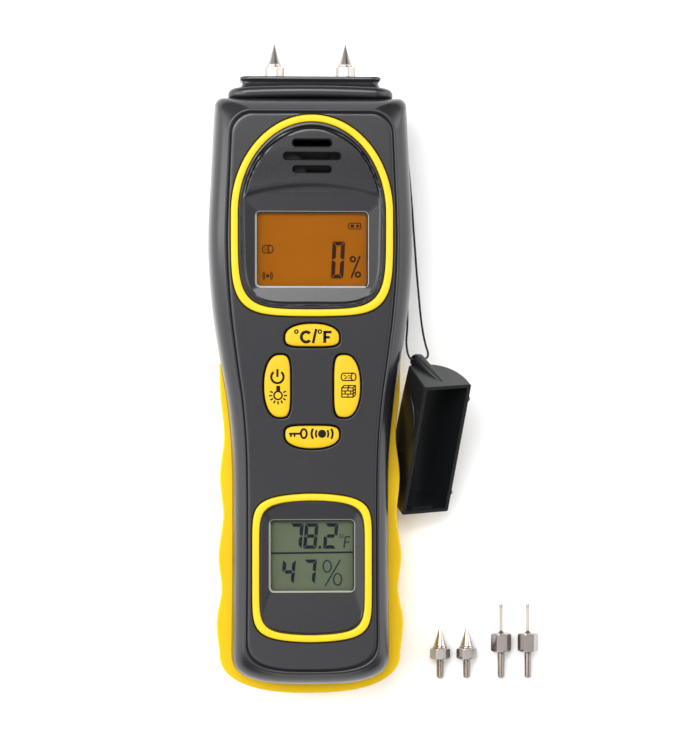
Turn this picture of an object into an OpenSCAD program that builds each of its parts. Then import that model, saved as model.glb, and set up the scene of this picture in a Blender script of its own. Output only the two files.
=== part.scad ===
// Handheld pin moisture meter with a room temperature and humidity display.
// It lies on its back: +Z leaves the display face, +Y runs towards the pins, +X is to the right.
// The origin is on the flat back, halfway along the housing and midway between its sides.

/* [Housing] */
// Height of the flat front face above the back
body_z = 33.5; // [33:0.5:34.5]
// Height of the joint between the rear and the front shell
part_z = 17; // [16.5:0.5:17.5]
// Wall thickness of both shells
wall = 2; // [1.8:0.1:2.2]
// End of the shells nearest the pins, along Y
case_top = 92.5; // [92:0.5:93]
// Other end of the shells, along Y
case_bottom = -96; // [-96.5:0.5:-95.5]
// Upper end of the rubber boot, along Y
boot_top = 7; // [5:1:8]
// Lower end of the rubber boot, along Y
boot_bottom = -99.4; // [-100:0.1:-99]

/* [Nose] */
// Width of the ridge that the cap slides over
ridge_w = 45.4; // [44.5:0.1:45.6]
// Thickness of that ridge
ridge_t = 13.6; // [13:0.1:13.8]
// End of the ridge, along Y
ridge_top = 99.5;  // [99.5:0.5:100.5]
// Width of the collar behind the ridge
collar_w = 53; // [51:0.5:54]
// Thickness of the collar
collar_t = 21; // [20:0.5:22]
// Length of the collar along Y
collar_len = 3; // [2.5:0.5:3.5]
// Height of the pin axes above the back
pin_z = 17; // [16.5:0.5:17.5]
// Distance between the two contact pins
pin_pitch = 23; // [22:0.5:24]

/* [Pins] */
// Width across the flats of a pin's hexagon
hex_af = 5.8; // [5.5:0.1:6]
// Length of the hexagon on a cone pin
hex_len = 3.7; // [3:0.1:4]
// Length of the hexagon on a needle pin
long_hex_len = 6.2; // [5.5:0.1:7]
// Length of the cone
cone_len = 7.6; // [7:0.1:8]
// Diameter of the cone at its base
cone_d = 4.6; // [4:0.1:5.2]
// Length of the needle with its point
needle_len = 11.7; // [10:0.1:13]
// Diameter of the needle
needle_d = 1; // [0.8:0.1:1.2]
// Outer diameter of the thread
thread_d = 2.7; // [2.6:0.05:2.7]
// Length of a cone pin's thread
thread_len = 6.3; // [5.5:0.1:6.5]
// Length of a needle pin's thread
long_thread_len = 8.7; // [7:0.1:9]

/* [Displays] */
// Width of the upper display opening
upper_open_w = 34.8; // [34:0.2:35.6]
// Height of the upper display opening, along Y
upper_open_h = 23; // [22:0.2:24]
// Centre of the upper display, along Y
upper_open_y = 43.5; // [43:0.1:44]
// Width of the lower display opening
lower_open_w = 26; // [25:0.2:26.4]
// Height of the lower display opening, along Y
lower_open_h = 21.9; // [21:0.1:22.3]
// Centre of the lower display, along Y
lower_open_y = -54.05; // [-54.3:0.05:-53.8]
// Width of the yellow trim rings
trim_w = 2.2; // [2:0.1:2.4]

/* [Keys] */
// Distance from the middle of the key cross to the top and bottom keys
key_reach_y = 15.7; // [15.5:0.1:16]
// Distance from the middle of the key cross to the side keys
key_reach_x = 10.5; // [10.2:0.1:10.8]
// Height of a key's top above the front face
key_proud = 1.4; // [1:0.1:1.6]
// Travel of a key
key_travel = 0.7; // [0.5:0.1:0.7]

/* [Battery] */
// Width of the battery
battery_w = 26.5; // [26:0.1:26.5]
// Length of the battery
battery_len = 48.5; // [47:0.5:48.5]
// Thickness of the battery
battery_t = 17.2; // [16.5:0.1:17.5]
// Width of the battery door
door_w = 32; // [31:0.5:33]

/* [Cap] */
// Outer width of the pin cap, its long side
cap_w = 48.2; // [48:0.1:48.6]
// Outer thickness of the pin cap, its short side
cap_t = 16.4; // [16.2:0.1:16.6]
// Depth of the pin cap at its two ends
cap_depth = 14.8; // [14.4:0.1:15.2]
// Extra depth at the middle of its bowed closed end
cap_bow = 1.5; // [1:0.1:1.8]
// Wall thickness of the pin cap
cap_wall = 1.2; // [1:0.1:1.3]

/* [Lanyard] */
// Diameter of the lanyard cord
cord_d = 0.7; // [0.6:0.05:0.8]

/* [Hidden] */
$fn = 48;

// Colours
charcoal = [0.25, 0.25, 0.27];
black = [0.08, 0.08, 0.09];
yellow = [0.98, 0.82, 0.08];
nickel = [0.78, 0.77, 0.75];
amber = [0.75, 0.45, 0.05];
lcd_green = [0.48, 0.54, 0.43];
board_green = [0.10, 0.35, 0.20];

// Half width of the shells at stations along Y, at their widest height
case_half = [
    [-86, 25.4], [-50, 25.1], [-22, 25.4], [-6, 26.8], [8, 29.1], [26, 31.7], [46, 32.9], [70, 31.9], [90, 30.9]
];
// The same for the boot, whose waves are the finger grips
boot_half = [
    [-86, 29.4], [-76, 30.3], [-66, 28.7], [-55, 29.7], [-42, 28.2], [-29, 29.2], [-16, 27.9], [-3, 29.1], [8, 29.5]
];
// An inset is given for a half width of this size and shrinks with the local half width
inset_ref = 30;
case_corner_h = 10.5;
case_corner_p = 3;
boot_corner_h = 13.4;
boot_corner_p = 2.45;

// Rear shell from back to joint: height, inset, radius of the two corners nearest the pins
rear_levels = [[0, 7.4, 3], [1.2, 6.3, 3], [4, 4.6, 3], [8, 2.5, 3], [13, 0.8, 2.6], [part_z, 0, 2.6]];
// Front shell from joint to face
front_levels = [
    [part_z, 0, 2.6], [20, 0.1, 2.6], [24, 0.6, 3], [28, 1.5, 4], [31.2, 2.6, 6],
    [body_z - 0.6, 4, 7.5], [body_z, 4.7, 7.5]
];
// Rubber boot from its lower to its upper edge: height and inset of its outer side
boot_levels = [[2.3, 5.7], [4, 4.7], [8, 2.65], [13, 0.95], [part_z, 0.1], [18.4, 0.15], [19.2, 0.3]];
boot_gap = 0.06;

// Face of the shells, insets of the parts set into it
face_t = 2.5;
pocket_t = 1.45;
pocket_z = body_z - pocket_t;
ring_proud = 0.4;
trim_gap = 0.2;
bezel_ledge = 1.4;

// Trim rings: centre along Y, half width, reach above and below, roundness above and below,
// then how far the ends droop from the middle to the corners
upper_ring = [55, 25.8, 31.3, 32.8, 2, 5.2, 0, 1];
lower_ring = [-58, 19, 23.8, 23.4, 7, 6.5, 2.7, 2.4];

// Stack behind the face, heights above the back
board_z = 23.6;
board_t = 1.6;
board_top = board_z + board_t;
lcd_z = 28.2;
lcd_t = 2.3;
window_z = 31;
window_t = 0.9;

// Keys
key_half = 8.5;
side_key_half = 9.85;
key_outer = 4.05;
key_inner = 3.05;
key_gap = 0.5;
key_flange = 0.8;
key_foot_z = 26.5;
pill_t = 0.5;
pill_d = 4.2;

// Fasteners
case_screw_at = [[-20.5, 82], [20.5, 82], [-20.4, 22], [20.4, 22], [0, -88.2]];
// Height of each screw head's underside; the last one clears the battery door
case_screw_z = [1.6, 1.6, 1.6, 1.6, 2.4];
board_screw_at = [[-24.2, 66], [24.2, 66], [-18.5, -36], [18.5, -36]];
screw_clear = 0.05;
screw_r = 1.15;
screw_head_r = 2.3;
lead_r = 0.6;
lead_gap = 0.08;
boss_r = 3;

// Pin sockets
socket_r = 2.8;
socket_bore_r = 1.4;
socket_back = 84;

// Battery bay and door
battery_y = -83.8;
battery_z = 2.3;
bay_wall = 1.2;
bay_half = 15.2;
bay_top_y = -29;
door_top_y = -33;
door_bottom_y = -89.2;
door_t = 2;
door_lip = 1.2;
door_gap = 0.2;

// Lanyard bar in the right side
bar_x = 29.4;
bar_y = 75.6;
bar_z = 11.5;
bar_r = 0.9;

// Resting place of the pin cap: the middle of its rim and its tilt
cap_at = [40.5, -20.8, 23.35];
cap_turn = [31, 18.5, 3.5];
tab_top = [-0.6, -3];
tab_tip = [-4.2, -17.6];
tab_hole_v = -4;
tab_hole_depth = 15.4;
tab_hole_rise = 1.3;
tab_hole_r = 0.85;

// Spare pins: place along X and where their hexagons start along Y
spare_cone_x = [43.6, 52.4];
spare_cone_y = -90.3;
spare_needle_x = [63.8, 72.7];
spare_needle_y = -88;

// Lanyard route: out of the right side, down to the cap's lug, through it and back
cord_route = [
    [30.8, 76.2, 12.4], [31.6, 75.4, 12.3], [32.1, 73.8, 12.1], [32.6, 70, 11.2], [33.3, 64, 9.7],
    [34, 57, 8.3], [34.5, 50.5, 7.6], [35, 44, 7.3], [35.4, 38, 7.7], [35.8, 32, 9],
    [36.1, 26.5, 11.2], [36.4, 21.5, 13.8], [36.8, 17, 16.9], [37.4, 13, 20.2], [37.9, 10.6, 22.4],
    [37.6, 9.2, 23.2], [36.4, 8.7, 24], [34.9, 8.6, 24.5], [33.2, 8.5, 25], [32, 8.8, 25.5],
    [31.2, 10.2, 25.3], [30.9, 12.6, 24], [31, 15.2, 21.6], [31.5, 18.2, 18.4], [31.9, 22, 14.8],
    [32.1, 27, 11.6], [32.2, 33, 9.4], [32.3, 40, 8.2], [32.4, 47, 8], [32.5, 54, 8.4],
    [32.5, 61, 9.2], [32.3, 67, 10.1], [32, 71.5, 10.7], [31.5, 74, 10.9], [30.9, 75.1, 10.9]
];

// ---- outlines

// Index of the station just below y
function station(s, y, i = 0) = (i >= len(s) - 2 || y < s[i + 1][0]) ? i : station(s, y, i + 1);
// Slope of the half width at a station
function slope(s, i) = let (a = max(i - 1, 0), b = min(i + 1, len(s) - 1)) (s[b][1] - s[a][1]) / (s[b][0] - s[a][0]);
// Smooth half width at any y
function half_at(s, y) =
    let (i = station(s, y), h = s[i + 1][0] - s[i][0], t = (y - s[i][0]) / h)
    s[i][1] * (2 * pow(t, 3) - 3 * t * t + 1) + s[i + 1][1] * (3 * t * t - 2 * pow(t, 3))
    + h * slope(s, i) * (pow(t, 3) - 2 * t * t + t) + h * slope(s, i + 1) * (pow(t, 3) - t * t);
// Right half and its mirror image, counter-clockwise from the bottom centre
function mirrored(right) = concat(right, [for (i = [len(right) - 1 : -1 : 1]) [-right[i][0], right[i][1]]]);
// Closed outline of the housing: a rounded lower end, waisted sides and two round corners at the top
function body_outline(s, low, high, corner_h, corner_p, inset, r) =
    let (k = 1 - inset / inset_ref, yc = low + inset + corner_h, yt = high - inset, w0 = half_at(s, yc) * k,
         wt = half_at(s, yt - r) * k)
    mirrored(concat(
        [for (i = [0 : 11]) let (a = 7.5 * i)
            [w0 * pow(sin(a), 2 / corner_p), yc - corner_h * pow(cos(a), 2 / corner_p)]],
        [for (i = [0 : 20]) let (y = yc + (yt - r - yc) * i / 20) [half_at(s, y) * k, y]],
        [for (i = [1 : 6]) [wt - r + r * cos(15 * i), yt - r + r * sin(15 * i)]]));
function case_outline(inset, r) =
    body_outline(case_half, case_bottom, case_top, case_corner_h, case_corner_p, inset, r);
// Inset of the shells at a height
function case_inset(z) = lookup(z, [for (l = concat(rear_levels, front_levels)) [l[0], l[1]]]);
// Path round the lower end and up the right side as far as the boot reaches
function tail_path(s, low, corner_h, corner_p, inset) =
    let (k = 1 - inset / inset_ref, yc = low + inset + corner_h, w0 = half_at(s, yc) * k)
    concat(
        [for (i = [0 : 11]) let (a = 7.5 * i)
            [w0 * pow(sin(a), 2 / corner_p), yc - corner_h * pow(cos(a), 2 / corner_p)]],
        [for (i = [0 : 22]) let (y = yc + (boot_top - yc) * i / 22) [half_at(s, y) * k, y]]);
// Closed horseshoe between the boot's outer side and the shells
function boot_outline(z, inset) =
    let (out = tail_path(boot_half, boot_bottom, boot_corner_h, boot_corner_p, inset),
         hug = tail_path(case_half, case_bottom, case_corner_h, case_corner_p, case_inset(z) - boot_gap),
         last = len(out) - 1)
    concat([for (i = [last : -1 : 1]) [-out[i][0], out[i][1]]], out,
           [for (i = [last : -1 : 0]) hug[i]], [for (i = [1 : last]) [-hug[i][0], hug[i][1]]]);
// Closed egg outline about a centre on the Y axis, from a list like the trim rings'
function egg_reach(a, w, b, p) = pow(pow(abs(cos(a)) / w, p) + pow(abs(sin(a)) / b, p), -1 / p);
function egg_point(g, a, inset) =
    let (half = sin(a) >= 0 ? 0 : 1)
    let (r = egg_reach(a, g[1] - inset, g[2 + half] - inset, g[4 + half]))
    let (droop = g[6 + half] * pow(r * cos(a) / g[1], 2) * pow(r * sin(a) / g[2 + half], 2))
    [r * cos(a), g[0] + r * sin(a) + (half * 2 - 1) * droop];
function egg(g, inset, n = 72) = [for (i = [0 : n - 1]) egg_point(g, 360 * i / n, inset)];

// ---- solids from outlines

// Solid through a list of [height, outline], every outline with the same number of points.
// A horseshoe outline runs out along one side and back along the other, so its ends are strips of quads.
module loft(sections, horseshoe = false) {
    n = len(sections[0][1]);
    m = len(sections);
    top = (m - 1) * n;
    points = [for (s = sections) for (p = s[1]) [p[0], p[1], s[0]]];
    low_cap = horseshoe ? [for (i = [0 : n / 2 - 2]) [i, i + 1, n - 2 - i, n - 1 - i]] : [[for (i = [0 : n - 1]) i]];
    high_cap = horseshoe ? [for (i = [0 : n / 2 - 2]) [top + n - 1 - i, top + n - 2 - i, top + i + 1, top + i]]
        : [[for (i = [n - 1 : -1 : 0]) top + i]];
    sides = [for (k = [0 : m - 2]) for (i = [0 : n - 1]) for (h = [0, 1])
        let (j = (i + 1) % n, a = k * n + i, b = k * n + j, c = (k + 1) * n + j, d = (k + 1) * n + i)
        h == 0 ? [a, d, c] : [a, c, b]];
    polyhedron(points = points, faces = concat(low_cap, high_cap, sides));
}

// Case body between heights, grown or shrunk by an inset; its end levels are moved to z_low and z_high
module case_body(levels, z_low, z_high, inset) {
    last = len(levels) - 1;
    loft([for (i = [0 : last])
        [i == 0 ? z_low : i == last ? z_high : levels[i][0], case_outline(levels[i][1] + inset, levels[i][2])]]);
}

// Round bar along Y with its start at the given point
module bar_y(at, r, len) {
    translate(at) rotate([-90, 0, 0]) cylinder(h = len, r = r);
}

// Rounded rectangle in the plane, with true arcs
module round_rect(w, h, r) {
    square([w - 2 * r, h], center = true);
    square([w, h - 2 * r], center = true);
    for (x = [-1, 1], y = [-1, 1]) translate([x * (w / 2 - r), y * (h / 2 - r)]) circle(r);
}

// Rounded plate across the nose: width along X, thickness along Z, length along +Y from the given y
module nose_plate(w, t, r, y, len) {
    translate([0, y, pin_z]) rotate([-90, 0, 0]) linear_extrude(len) round_rect(w, t, r);
}

// ---- housing shells

module front_case() {
    color(charcoal) difference() {
        union() {
            difference() {
                case_body(front_levels, part_z, body_z, 0);
                case_body(front_levels, part_z - 1, body_z - face_t, wall);
            }
            for (p = case_screw_at) translate([p[0], p[1], part_z]) cylinder(h = body_z - part_z - 1, r = boss_r);
            for (p = board_screw_at) translate([p[0], p[1], board_top + 0.1])
                cylinder(h = body_z - face_t - board_top + 0.4, r = 2.2);
        }
        // Screw holes
        for (p = case_screw_at) translate([p[0], p[1], part_z - 1]) cylinder(h = 11, r = screw_r + screw_clear);
        for (p = board_screw_at) translate([p[0], p[1], board_top]) cylinder(h = 4.5, r = 0.9);
        // Pockets for the trim rings and the openings behind the bezels
        for (g = [upper_ring, lower_ring]) {
            translate([0, 0, pocket_z]) linear_extrude(face_t) polygon(egg(g, -0.1));
            translate([0, 0, body_z - face_t - 3]) linear_extrude(face_t + 3) polygon(egg(g, trim_w + bezel_ledge));
        }
        // Room for the lower window, which is squarer than its opening
        translate([0, lower_open_y, window_z - 0.05]) linear_extrude(window_t + 0.1)
            round_rect(lower_open_w + 1.4, lower_open_h + 1.4, 1);
        // Key openings
        for (k = [0 : 3]) key_place(k) translate([0, 0, 26]) linear_extrude(12) key_outline(k, key_gap);
        // Half of the mouth for the nose block's tongue
        translate([-18.2, case_top - 12, part_z - 1]) cube([36.4, 20, 7.2]);
    }
}

module rear_case() {
    color(charcoal) difference() {
        union() {
            difference() {
                case_body(rear_levels, 0, part_z, 0);
                case_body(rear_levels, wall, part_z + 1, wall);
            }
            for (p = case_screw_at) translate([p[0], p[1], 1]) cylinder(h = part_z - 1, r = boss_r);
            // Battery bay walls
            for (s = [-1, 1]) translate([s * (bay_half + bay_wall / 2) - bay_wall / 2, -85.5, 1])
                cube([bay_wall, bay_top_y + 85.5, 16]);
            translate([-bay_half - bay_wall, bay_top_y - bay_wall, 1]) cube([2 * (bay_half + bay_wall), bay_wall, 12]);
            translate([-bay_half - bay_wall, -85.5, 1]) cube([2 * (bay_half + bay_wall), bay_wall, 16]);
            // Block around the lanyard bar
            translate([26.4, bar_y - 4, bar_z - 5]) cube([3.6, 8, 10.4]);
        }
        // Screw holes, with their heads sunk in the back
        for (i = [0 : len(case_screw_at) - 1]) translate([case_screw_at[i][0], case_screw_at[i][1], -1]) {
            cylinder(h = part_z + 3, r = screw_r + 0.25);
            cylinder(h = case_screw_z[i] + 2.9, r = screw_head_r + 0.2);
        }
        // Battery door opening with its grooves
        translate([-door_w / 2 - door_gap, -110, -1]) cube([door_w + 2 * door_gap, 110 + door_top_y, 2 + door_t]);
        translate([-door_w / 2 - door_lip - door_gap, -110, 0.9])
            cube([door_w + 2 * (door_lip + door_gap), 110 + door_top_y, 1.3]);
        // Half of the mouth for the nose block's tongue
        translate([-18.2, case_top - 6, pin_z - 6.2]) cube([36.4, 20, 7.2]);
        // Recess that the lanyard leaves through
        translate([28, bar_y - 2.6, bar_z - 3]) cube([8, 5.2, 6]);
        translate([bar_x, bar_y, bar_z - 4.5]) cylinder(h = 9, r = bar_r + 0.02);
    }
}

module rubber_boot() {
    color(yellow) loft([for (l = boot_levels) [l[0], boot_outline(l[0], l[1])]], horseshoe = true);
}

module nose_block() {
    color(charcoal) difference() {
        union() {
            nose_plate(collar_w, collar_t, 6, case_top + 0.1, collar_len);
            nose_plate(ridge_w - 1.6, ridge_t - 1.6, 2.6, case_top + collar_len, ridge_top - case_top - collar_len);
            nose_plate(ridge_w, ridge_t, 3, ridge_top - 1.6, 1.6);
            nose_plate(36, 12, 2, socket_back, case_top - socket_back + 1);
        }
        for (s = [-1, 1]) bar_y([s * pin_pitch / 2, socket_back - 1, pin_z], socket_r + 0.02, 30);
    }
}

// ---- displays

module trim_ring(g) {
    color(yellow) translate([0, 0, pocket_z + 0.05]) linear_extrude(pocket_t + ring_proud - 0.05) difference() {
        polygon(egg(g, 0));
        polygon(egg(g, trim_w));
    }
}

// Bezel: a plate inside its trim ring and a neck through the case, with a window pocket from behind
module bezel(g, open_w, open_h, open_y) {
    color(charcoal) difference() {
        union() {
            translate([0, 0, pocket_z + 0.05]) linear_extrude(1.2) polygon(egg(g, trim_w + trim_gap));
            translate([0, 0, 30.7]) linear_extrude(pocket_z - 30.6) polygon(egg(g, trim_w + bezel_ledge + 0.15));
        }
        translate([0, open_y, 30]) linear_extrude(5) round_rect(open_w, open_h, 1);
        translate([0, open_y, 30]) linear_extrude(window_z + window_t + 0.05 - 30) round_rect(open_w + 1.4, open_h + 1.4, 1);
        children();
    }
}

module upper_trim_ring() { trim_ring(upper_ring); }
module lower_trim_ring() { trim_ring(lower_ring); }
module upper_bezel() {
    bezel(upper_ring, upper_open_w, upper_open_h, upper_open_y)
        for (i = [-1 : 1]) translate([0, 73.1 + 4.2 * i, 29]) linear_extrude(8)
            round_rect(i == 0 ? 18 : 12.2, 1.95, 0.95);
}
module lower_bezel() { bezel(lower_ring, lower_open_w, lower_open_h, lower_open_y); }

module window_plate(w, h, y) {
    color([0.75, 0.8, 0.8, 0.4]) translate([0, y, window_z]) linear_extrude(window_t) round_rect(w + 1.2, h + 1.2, 0.9);
}
module upper_window() { window_plate(upper_open_w, upper_open_h, upper_open_y); }
module lower_window() { window_plate(lower_open_w, lower_open_h, lower_open_y); }

module upper_lcd() {
    color(amber) translate([-19, upper_open_y - 13.5, lcd_z]) cube([38, 27, lcd_t]);
}
module lower_lcd() {
    color(lcd_green) translate([-15, lower_open_y - 13, lcd_z]) cube([30, 26, lcd_t]);
}
module upper_backlight() {
    color([0.9, 0.85, 0.7]) translate([-18.5, upper_open_y - 10, board_top + 0.1]) cube([37, 20, lcd_z - board_top - 0.2]);
}
// Rubber strips that join the board to the display glass, above and below the display
module contact_strips(w, y, half) {
    color([0.85, 0.5, 0.55]) for (s = [-1, 1])
        translate([-w / 2, y + s * half - 1.1, board_top]) cube([w, 2.2, lcd_z - board_top]);
}
module upper_contact_strips() { contact_strips(36, upper_open_y, 12); }
module lower_contact_strips() { contact_strips(28, lower_open_y, 11.5); }

// ---- board

module main_board() {
    color(board_green) difference() {
        translate([0, 0, board_z]) linear_extrude(board_t)
            polygon([[-19.8, -84], [19.8, -84], [20.2, -10], [25.4, 20], [26.6, 44], [26.4, 76],
                     [-26.4, 76], [-26.6, 44], [-25.4, 20], [-20.2, -10]]);
        for (p = board_screw_at) translate([p[0], p[1], board_z - 1]) cylinder(h = 4, r = 1.1);
        for (s = [-1, 1]) translate([s * 20.4, 22, board_z - 1]) cylinder(h = 4, r = boss_r + 0.3);
    }
}
module chip(x, y, w, h, t) {
    color(black) translate([x - w / 2, y - h / 2, board_z - t]) cube([w, h, t]);
}
module controller_chip() { chip(0, 38, 14, 14, 1.6); }
module measuring_chip() { chip(-8, 62, 5, 6.2, 1.6); }
module board_capacitors() {
    color([0.15, 0.2, 0.45]) for (p = [[12, 62], [18, 52], [-16, 48]])
        translate([p[0], p[1], board_z - 5.5]) cylinder(h = 5.5, r = 2.5);
}
module clock_crystal() {
    color(nickel) translate([12, 30, board_z - 3.5]) linear_extrude(3.5) round_rect(10.5, 4.2, 2);
}
module buzzer() {
    color(black) difference() {
        translate([-8, 68.5, board_top]) cylinder(h = 5, r = 6);
        translate([-8, 68.5, board_top + 3.5]) cylinder(h = 3, r = 1.2);
    }
}
module humidity_sensor() {
    color([0.92, 0.92, 0.9]) difference() {
        translate([6, 65.5, board_top]) cube([7, 9, 3]);
        for (i = [0 : 2]) translate([7.2, 67 + 2.4 * i, board_top + 2.2]) cube([4.6, 1.2, 2]);
    }
}

// ---- keys

// Side keys are taller; every key is flat towards the middle of the cross and arched outwards
function key_long(k) = k % 2 == 0 ? key_half : side_key_half;
function key_depth(k) = k % 2 == 0 ? [key_outer, key_inner] : [4.7, 3.45];
// Keys 0 top, 1 left, 2 bottom, 3 right: a key is drawn as the top one and turned about the centre
module key_place(k) {
    rotate([0, 0, 90 * k]) translate([0, k % 2 == 0 ? key_reach_y : key_reach_x, 0]) children();
}
module key_outline(k, grow) {
    d = key_depth(k);
    polygon(egg([0, key_long(k), d[0], d[1], 2.2, 4.2, 0, 0], -grow, 48));
}
module key(k) {
    color(yellow) key_place(k) {
        translate([0, 0, key_foot_z]) linear_extrude(3.6) key_outline(k, -0.8);
        translate([0, 0, 29.9]) linear_extrude(0.9) key_outline(k, key_flange);
        translate([0, 0, 30.7]) linear_extrude(body_z - 30.7 + key_proud - 0.5) key_outline(k, 0);
        translate([0, 0, body_z + key_proud - 0.6]) linear_extrude(0.6) key_outline(k, -0.5);
    }
}
module pill(k) {
    color(black) key_place(k) translate([0, 0, key_foot_z - pill_t]) cylinder(h = pill_t, r = pill_d / 2);
}
module key_units() { key(0); }
module key_power() { key(1); }
module key_hold() { key(2); }
module key_mode() { key(3); }
module key_units_pill() { pill(0); }
module key_power_pill() { pill(1); }
module key_hold_pill() { pill(2); }
module key_mode_pill() { pill(3); }
module keypad_mat() {
    color([0.8, 0.8, 0.78]) difference() {
        translate([0, 0, board_top + 0.05]) linear_extrude(0.9) round_rect(35, 45, 2);
        for (k = [0 : 3]) key_place(k) translate([0, 0, board_top - 1]) linear_extrude(4) key_outline(k, -0.4);
    }
}

// ---- contact pins and their leads

module pin_sockets() {
    color([0.8, 0.65, 0.3]) for (s = [-1, 1]) difference() {
        bar_y([s * pin_pitch / 2, socket_back, pin_z], socket_r, ridge_top - socket_back);
        bar_y([s * pin_pitch / 2, socket_back + 3, pin_z], socket_bore_r, 30);
    }
}
module pin_leads() {
    color([0.6, 0.1, 0.1]) for (s = [-1, 1])
        cord_tube([[s * pin_pitch / 2, socket_back - lead_gap, pin_z], [s * pin_pitch / 2, 80, pin_z],
                   [s * pin_pitch / 2, 75, 18.4], [s * pin_pitch / 2, 73, 21.6],
                   [s * pin_pitch / 2, 73, board_z - lead_gap]], lead_r, 8);
}
// Pin along +Y: thread, hexagon with a flat up, then the given point
module pin_base(hex, thread) {
    bar_y([0, -thread, 0], thread_d / 2, thread + 0.2);
    translate([0, hex, 0]) rotate([90, 0, 0]) cylinder(h = hex, r = hex_af / 2 / cos(30), $fn = 6);
}
module cone_pin() {
    color(nickel) {
        pin_base(hex_len, thread_len);
        translate([0, hex_len, 0]) rotate([-90, 0, 0]) cylinder(h = cone_len, r1 = cone_d / 2, r2 = 0.12);
    }
}
module needle_pin() {
    color(nickel) {
        pin_base(long_hex_len, long_thread_len);
        bar_y([0, long_hex_len, 0], needle_d / 2, needle_len - 3);
        translate([0, long_hex_len, 0]) rotate([-90, 0, 0]) cylinder(h = 0.7, r1 = 1, r2 = needle_d / 2);
        translate([0, long_hex_len + needle_len - 3, 0]) rotate([-90, 0, 0]) cylinder(h = 3, r1 = 0.62, r2 = 0.1);
    }
}
module contact_pin_left() { translate([-pin_pitch / 2, ridge_top, pin_z]) cone_pin(); }
module contact_pin_right() { translate([pin_pitch / 2, ridge_top, pin_z]) cone_pin(); }
module spare_cone(i) { translate([spare_cone_x[i], spare_cone_y, hex_af / 2]) cone_pin(); }
module spare_needle(i) { translate([spare_needle_x[i], spare_needle_y, hex_af / 2]) needle_pin(); }
module spare_cone_pin_1() { spare_cone(0); }
module spare_cone_pin_2() { spare_cone(1); }
module spare_needle_pin_1() { spare_needle(0); }
module spare_needle_pin_2() { spare_needle(1); }

// ---- battery

module battery() {
    color([0.2, 0.2, 0.55]) {
        translate([-battery_w / 2, battery_y, battery_z]) cube([battery_w, battery_len - 3, battery_t]);
        for (s = [-1, 1]) bar_y([s * 6.35, battery_y + battery_len - 3, battery_z + battery_t / 2], s > 0 ? 2.8 : 3.6, 3);
    }
}
module battery_snap() {
    color(black) difference() {
        translate([-13, battery_y + battery_len - 2.9, battery_z + 2]) cube([26, 4.6, 12]);
        for (s = [-1, 1]) bar_y([s * 6.35, battery_y + battery_len - 4, battery_z + battery_t / 2], s > 0 ? 2.9 : 3.7, 4.1);
    }
}
module battery_leads() {
    color([0.6, 0.1, 0.1]) for (s = [-1, 1])
        cord_tube([[s * 3, battery_y + battery_len + 1.7, 15], [s * 3, -27, 15.4], [s * 3.6, -22, 18],
                   [s * 4, -19.6, 21.2], [s * 4, -19.6, board_z - lead_gap]], lead_r, 8);
}
module battery_foam() {
    color([0.3, 0.3, 0.32]) translate([-11, -75, battery_z + battery_t]) cube([22, 32, board_z - battery_z - battery_t]);
}
module battery_door() {
    color(charcoal) difference() {
        union() {
            translate([-door_w / 2, door_bottom_y, 0]) cube([door_w, door_top_y - door_gap - door_bottom_y, door_t]);
            translate([-door_w / 2 - door_lip, door_bottom_y + 0.6, 1.05])
                cube([door_w + 2 * door_lip, door_top_y - door_gap - door_bottom_y - 0.6, 0.95]);
        }
        // Grip grooves for the thumb
        for (i = [0 : 4]) translate([-8, -44 - 2.4 * i, -1]) cube([16, 1.1, 1.7]);
    }
}

// ---- fasteners

module case_screws() {
    color(nickel) for (i = [0 : len(case_screw_at) - 1])
        translate([case_screw_at[i][0], case_screw_at[i][1], case_screw_z[i]]) difference() {
        union() {
            cylinder(h = 1.8, r = screw_head_r);
            cylinder(h = 23, r = screw_r);
        }
        for (a = [0, 90]) rotate([0, 0, a]) translate([-1.4, -0.35, -1]) cube([2.8, 0.7, 1.8]);
    }
}
module board_screws() {
    color(nickel) for (p = board_screw_at) translate([p[0], p[1], board_z]) {
        translate([0, 0, -1.2]) cylinder(h = 1.2, r = 1.8);
        translate([0, 0, -0.2]) cylinder(h = 5.4, r = 0.85);
    }
}

// ---- lanyard and pin cap

module lanyard_bar() {
    color(nickel) translate([bar_x, bar_y, bar_z - 4.4]) cylinder(h = 8.8, r = bar_r);
}

// Point on the smooth route, a whole number being one of the route's own points
function route_at(p, u) =
    let (n = len(p) - 1, i = min(floor(u), n - 1), t = u - i,
         a = p[max(i - 1, 0)], b = p[i], c = p[i + 1], d = p[min(i + 2, n)])
    0.5 * (2 * b + (c - a) * t + (2 * a - 5 * b + 4 * c - d) * t * t + (3 * b - a - 3 * c + d) * pow(t, 3));
// Tube along the route, two rings to a stretch
module cord_tube(p, r, sides) {
    steps = 2 * (len(p) - 1);
    mid = [for (k = [0 : steps]) route_at(p, k / 2)];
    rings = [for (k = [0 : steps])
        let (dir = mid[min(k + 1, steps)] - mid[max(k - 1, 0)], t = dir / norm(dir),
             side = cross(t, [0.35, 0.1, 0.93]), u = side / norm(side), v = cross(t, u))
        [for (i = [0 : sides - 1]) mid[k] + r * (cos(360 * i / sides) * u + sin(360 * i / sides) * v)]];
    points = [for (ring = rings) for (q = ring) q];
    walls = [for (k = [0 : steps - 1]) for (i = [0 : sides - 1]) for (h = [0, 1])
        let (j = (i + 1) % sides, a = k * sides + i, b = k * sides + j, c = (k + 1) * sides + j, d = (k + 1) * sides + i)
        h == 0 ? [a, d, c] : [a, c, b]];
    ends = [[for (i = [0 : sides - 1]) i], [for (i = [sides - 1 : -1 : 0]) steps * sides + i]];
    polyhedron(points = points, faces = concat(walls, ends));
}
module lanyard() {
    color(black) cord_tube(cord_route, cord_d / 2, 8);
}

// Cap's own frame: X across its thickness, Y along its width, +Z out of its mouth, rim at height 0
module at_cap() { translate(cap_at) rotate(cap_turn) children(); }
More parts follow.
